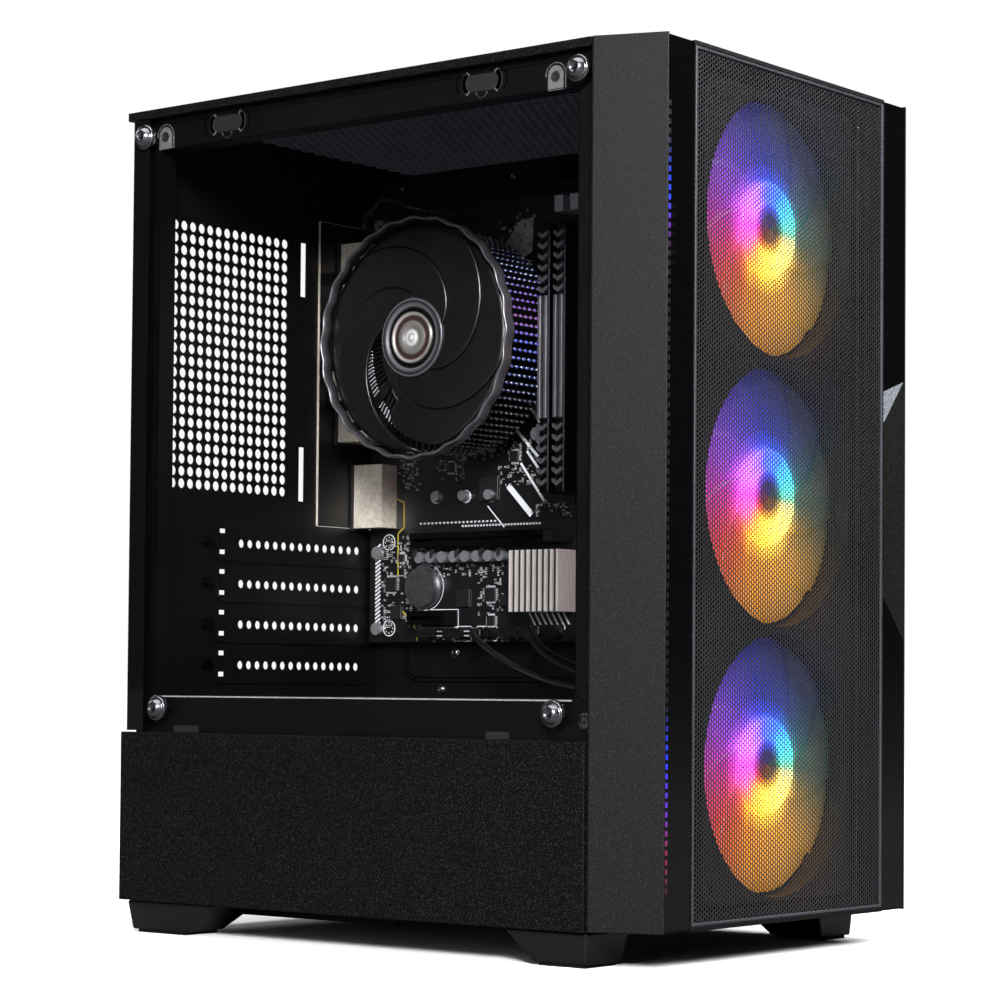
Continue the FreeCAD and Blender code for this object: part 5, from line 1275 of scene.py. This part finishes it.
studio = {"paper": "fafafa", "paperSeenByCase": 0.12, "skySeenByCase": 0.05, "ceiling": 3.5,
          "ceilingSpread": 70,
          # each softbox: where it stands, what it is aimed at, its size and its power
          "softboxes": {"left_softbox": ((-2.6, -0.35, 0.55), (0.0, 0.0, 0.22), (0.8, 1.5), 12),
                        "key_softbox": ((-1.5, -1.25, 0.95), (0.0, 0.06, 0.26), (0.5, 0.5), 95),
                        "front_softbox": ((1.5, -1.5, 1.7), (0.0, -0.1, 0.2), (1.2, 0.9), 46),
                        "rear_softbox": ((0.4, 2.4, 1.4), (0.0, 0.0, 0.2), (1.4, 1.0), 18)}}


def makeStudio():
    # a white sweep that the lens sees as white, and that throws only a little light back on the black case
    bm = bmesh.new()
    bmesh.ops.create_grid(bm, x_segments=1, y_segments=1, size=60.0)
    studioFloor = placed("studio_floor", meshOf("studio_floor", bm))
    bm.free()
    paper = bpy.data.materials.new("white_paper_sweep")
    paper.use_nodes = True
    tree = paper.node_tree
    tree.nodes.clear()
    path = addNode(tree, "ShaderNodeLightPath")
    full = addNode(tree, "ShaderNodeBsdfDiffuse", {"Color": hexColor(studio["paper"])})
    dim = addNode(tree, "ShaderNodeBsdfDiffuse", {"Color": scaled([1, 1, 1], studio["paperSeenByCase"])})
    both = addNode(tree, "ShaderNodeMixShader", None, {0: path.outputs["Is Camera Ray"], 1: dim, 2: full})
    addNode(tree, "ShaderNodeOutputMaterial", None, {0: both})
    studioFloor.data.materials.append(paper)
    world = bpy.data.worlds.new("studio")
    bpy.context.scene.world = world
    world.use_nodes = True
    tree = world.node_tree
    tree.nodes.clear()
    seen = addNode(tree, "ShaderNodeBackground", {"Color": (1, 1, 1, 1), "Strength": 1.0})
    lit = addNode(tree, "ShaderNodeBackground", {"Color": (1, 1, 1, 1), "Strength": studio["skySeenByCase"]})
    path = addNode(tree, "ShaderNodeLightPath")
    both = addNode(tree, "ShaderNodeMixShader", None, {0: path.outputs["Is Camera Ray"], 1: lit, 2: seen})
    addNode(tree, "ShaderNodeOutputWorld", None, {0: both})
    sky = bpy.data.lights.new("ceiling_panel", "SUN")
    sky.energy = studio["ceiling"]
    sky.angle = radians(studio["ceilingSpread"])
    placed("ceiling_panel", sky)
    for name, (place, aim, size, power) in studio["softboxes"].items():
        lamp = bpy.data.lights.new(name, "AREA")
        lamp.shape = "RECTANGLE"
        lamp.size, lamp.size_y = size
        lamp.energy = power
        holder = placed(name, lamp)
        holder.location = place
        holder.rotation_euler = (Vector(aim) - Vector(place)).to_track_quat("-Z", "Y").to_euler()


view = {"place": (-1.0813, -0.848, 0.1182), "yaw": -51.553, "pitch": 2.185, "roll": 0.459,
        "lens": 103.25, "shiftUp": 0.079}


def makeCamera():
    # a long lens, low and to the left of the front corner, looking up by about two degrees
    camera = bpy.data.cameras.new("camera")
    camera.sensor_width = 36.0
    camera.lens = view["lens"]
    camera.shift_y = view["shiftUp"]
    camera.clip_start = 0.05
    camera.clip_end = 60.0
    holder = placed("camera", camera)
    turn = Matrix.Rotation(radians(view["yaw"]), 4, "Z") @ Matrix.Rotation(radians(90 + view["pitch"]), 4, "X")
    turn = turn @ Matrix.Rotation(radians(view["roll"]), 4, "Z")
    holder.matrix_world = Matrix.Translation(view["place"]) @ turn
    bpy.context.scene.camera = holder


makeStudio()
makeCamera()
print("studio ready")
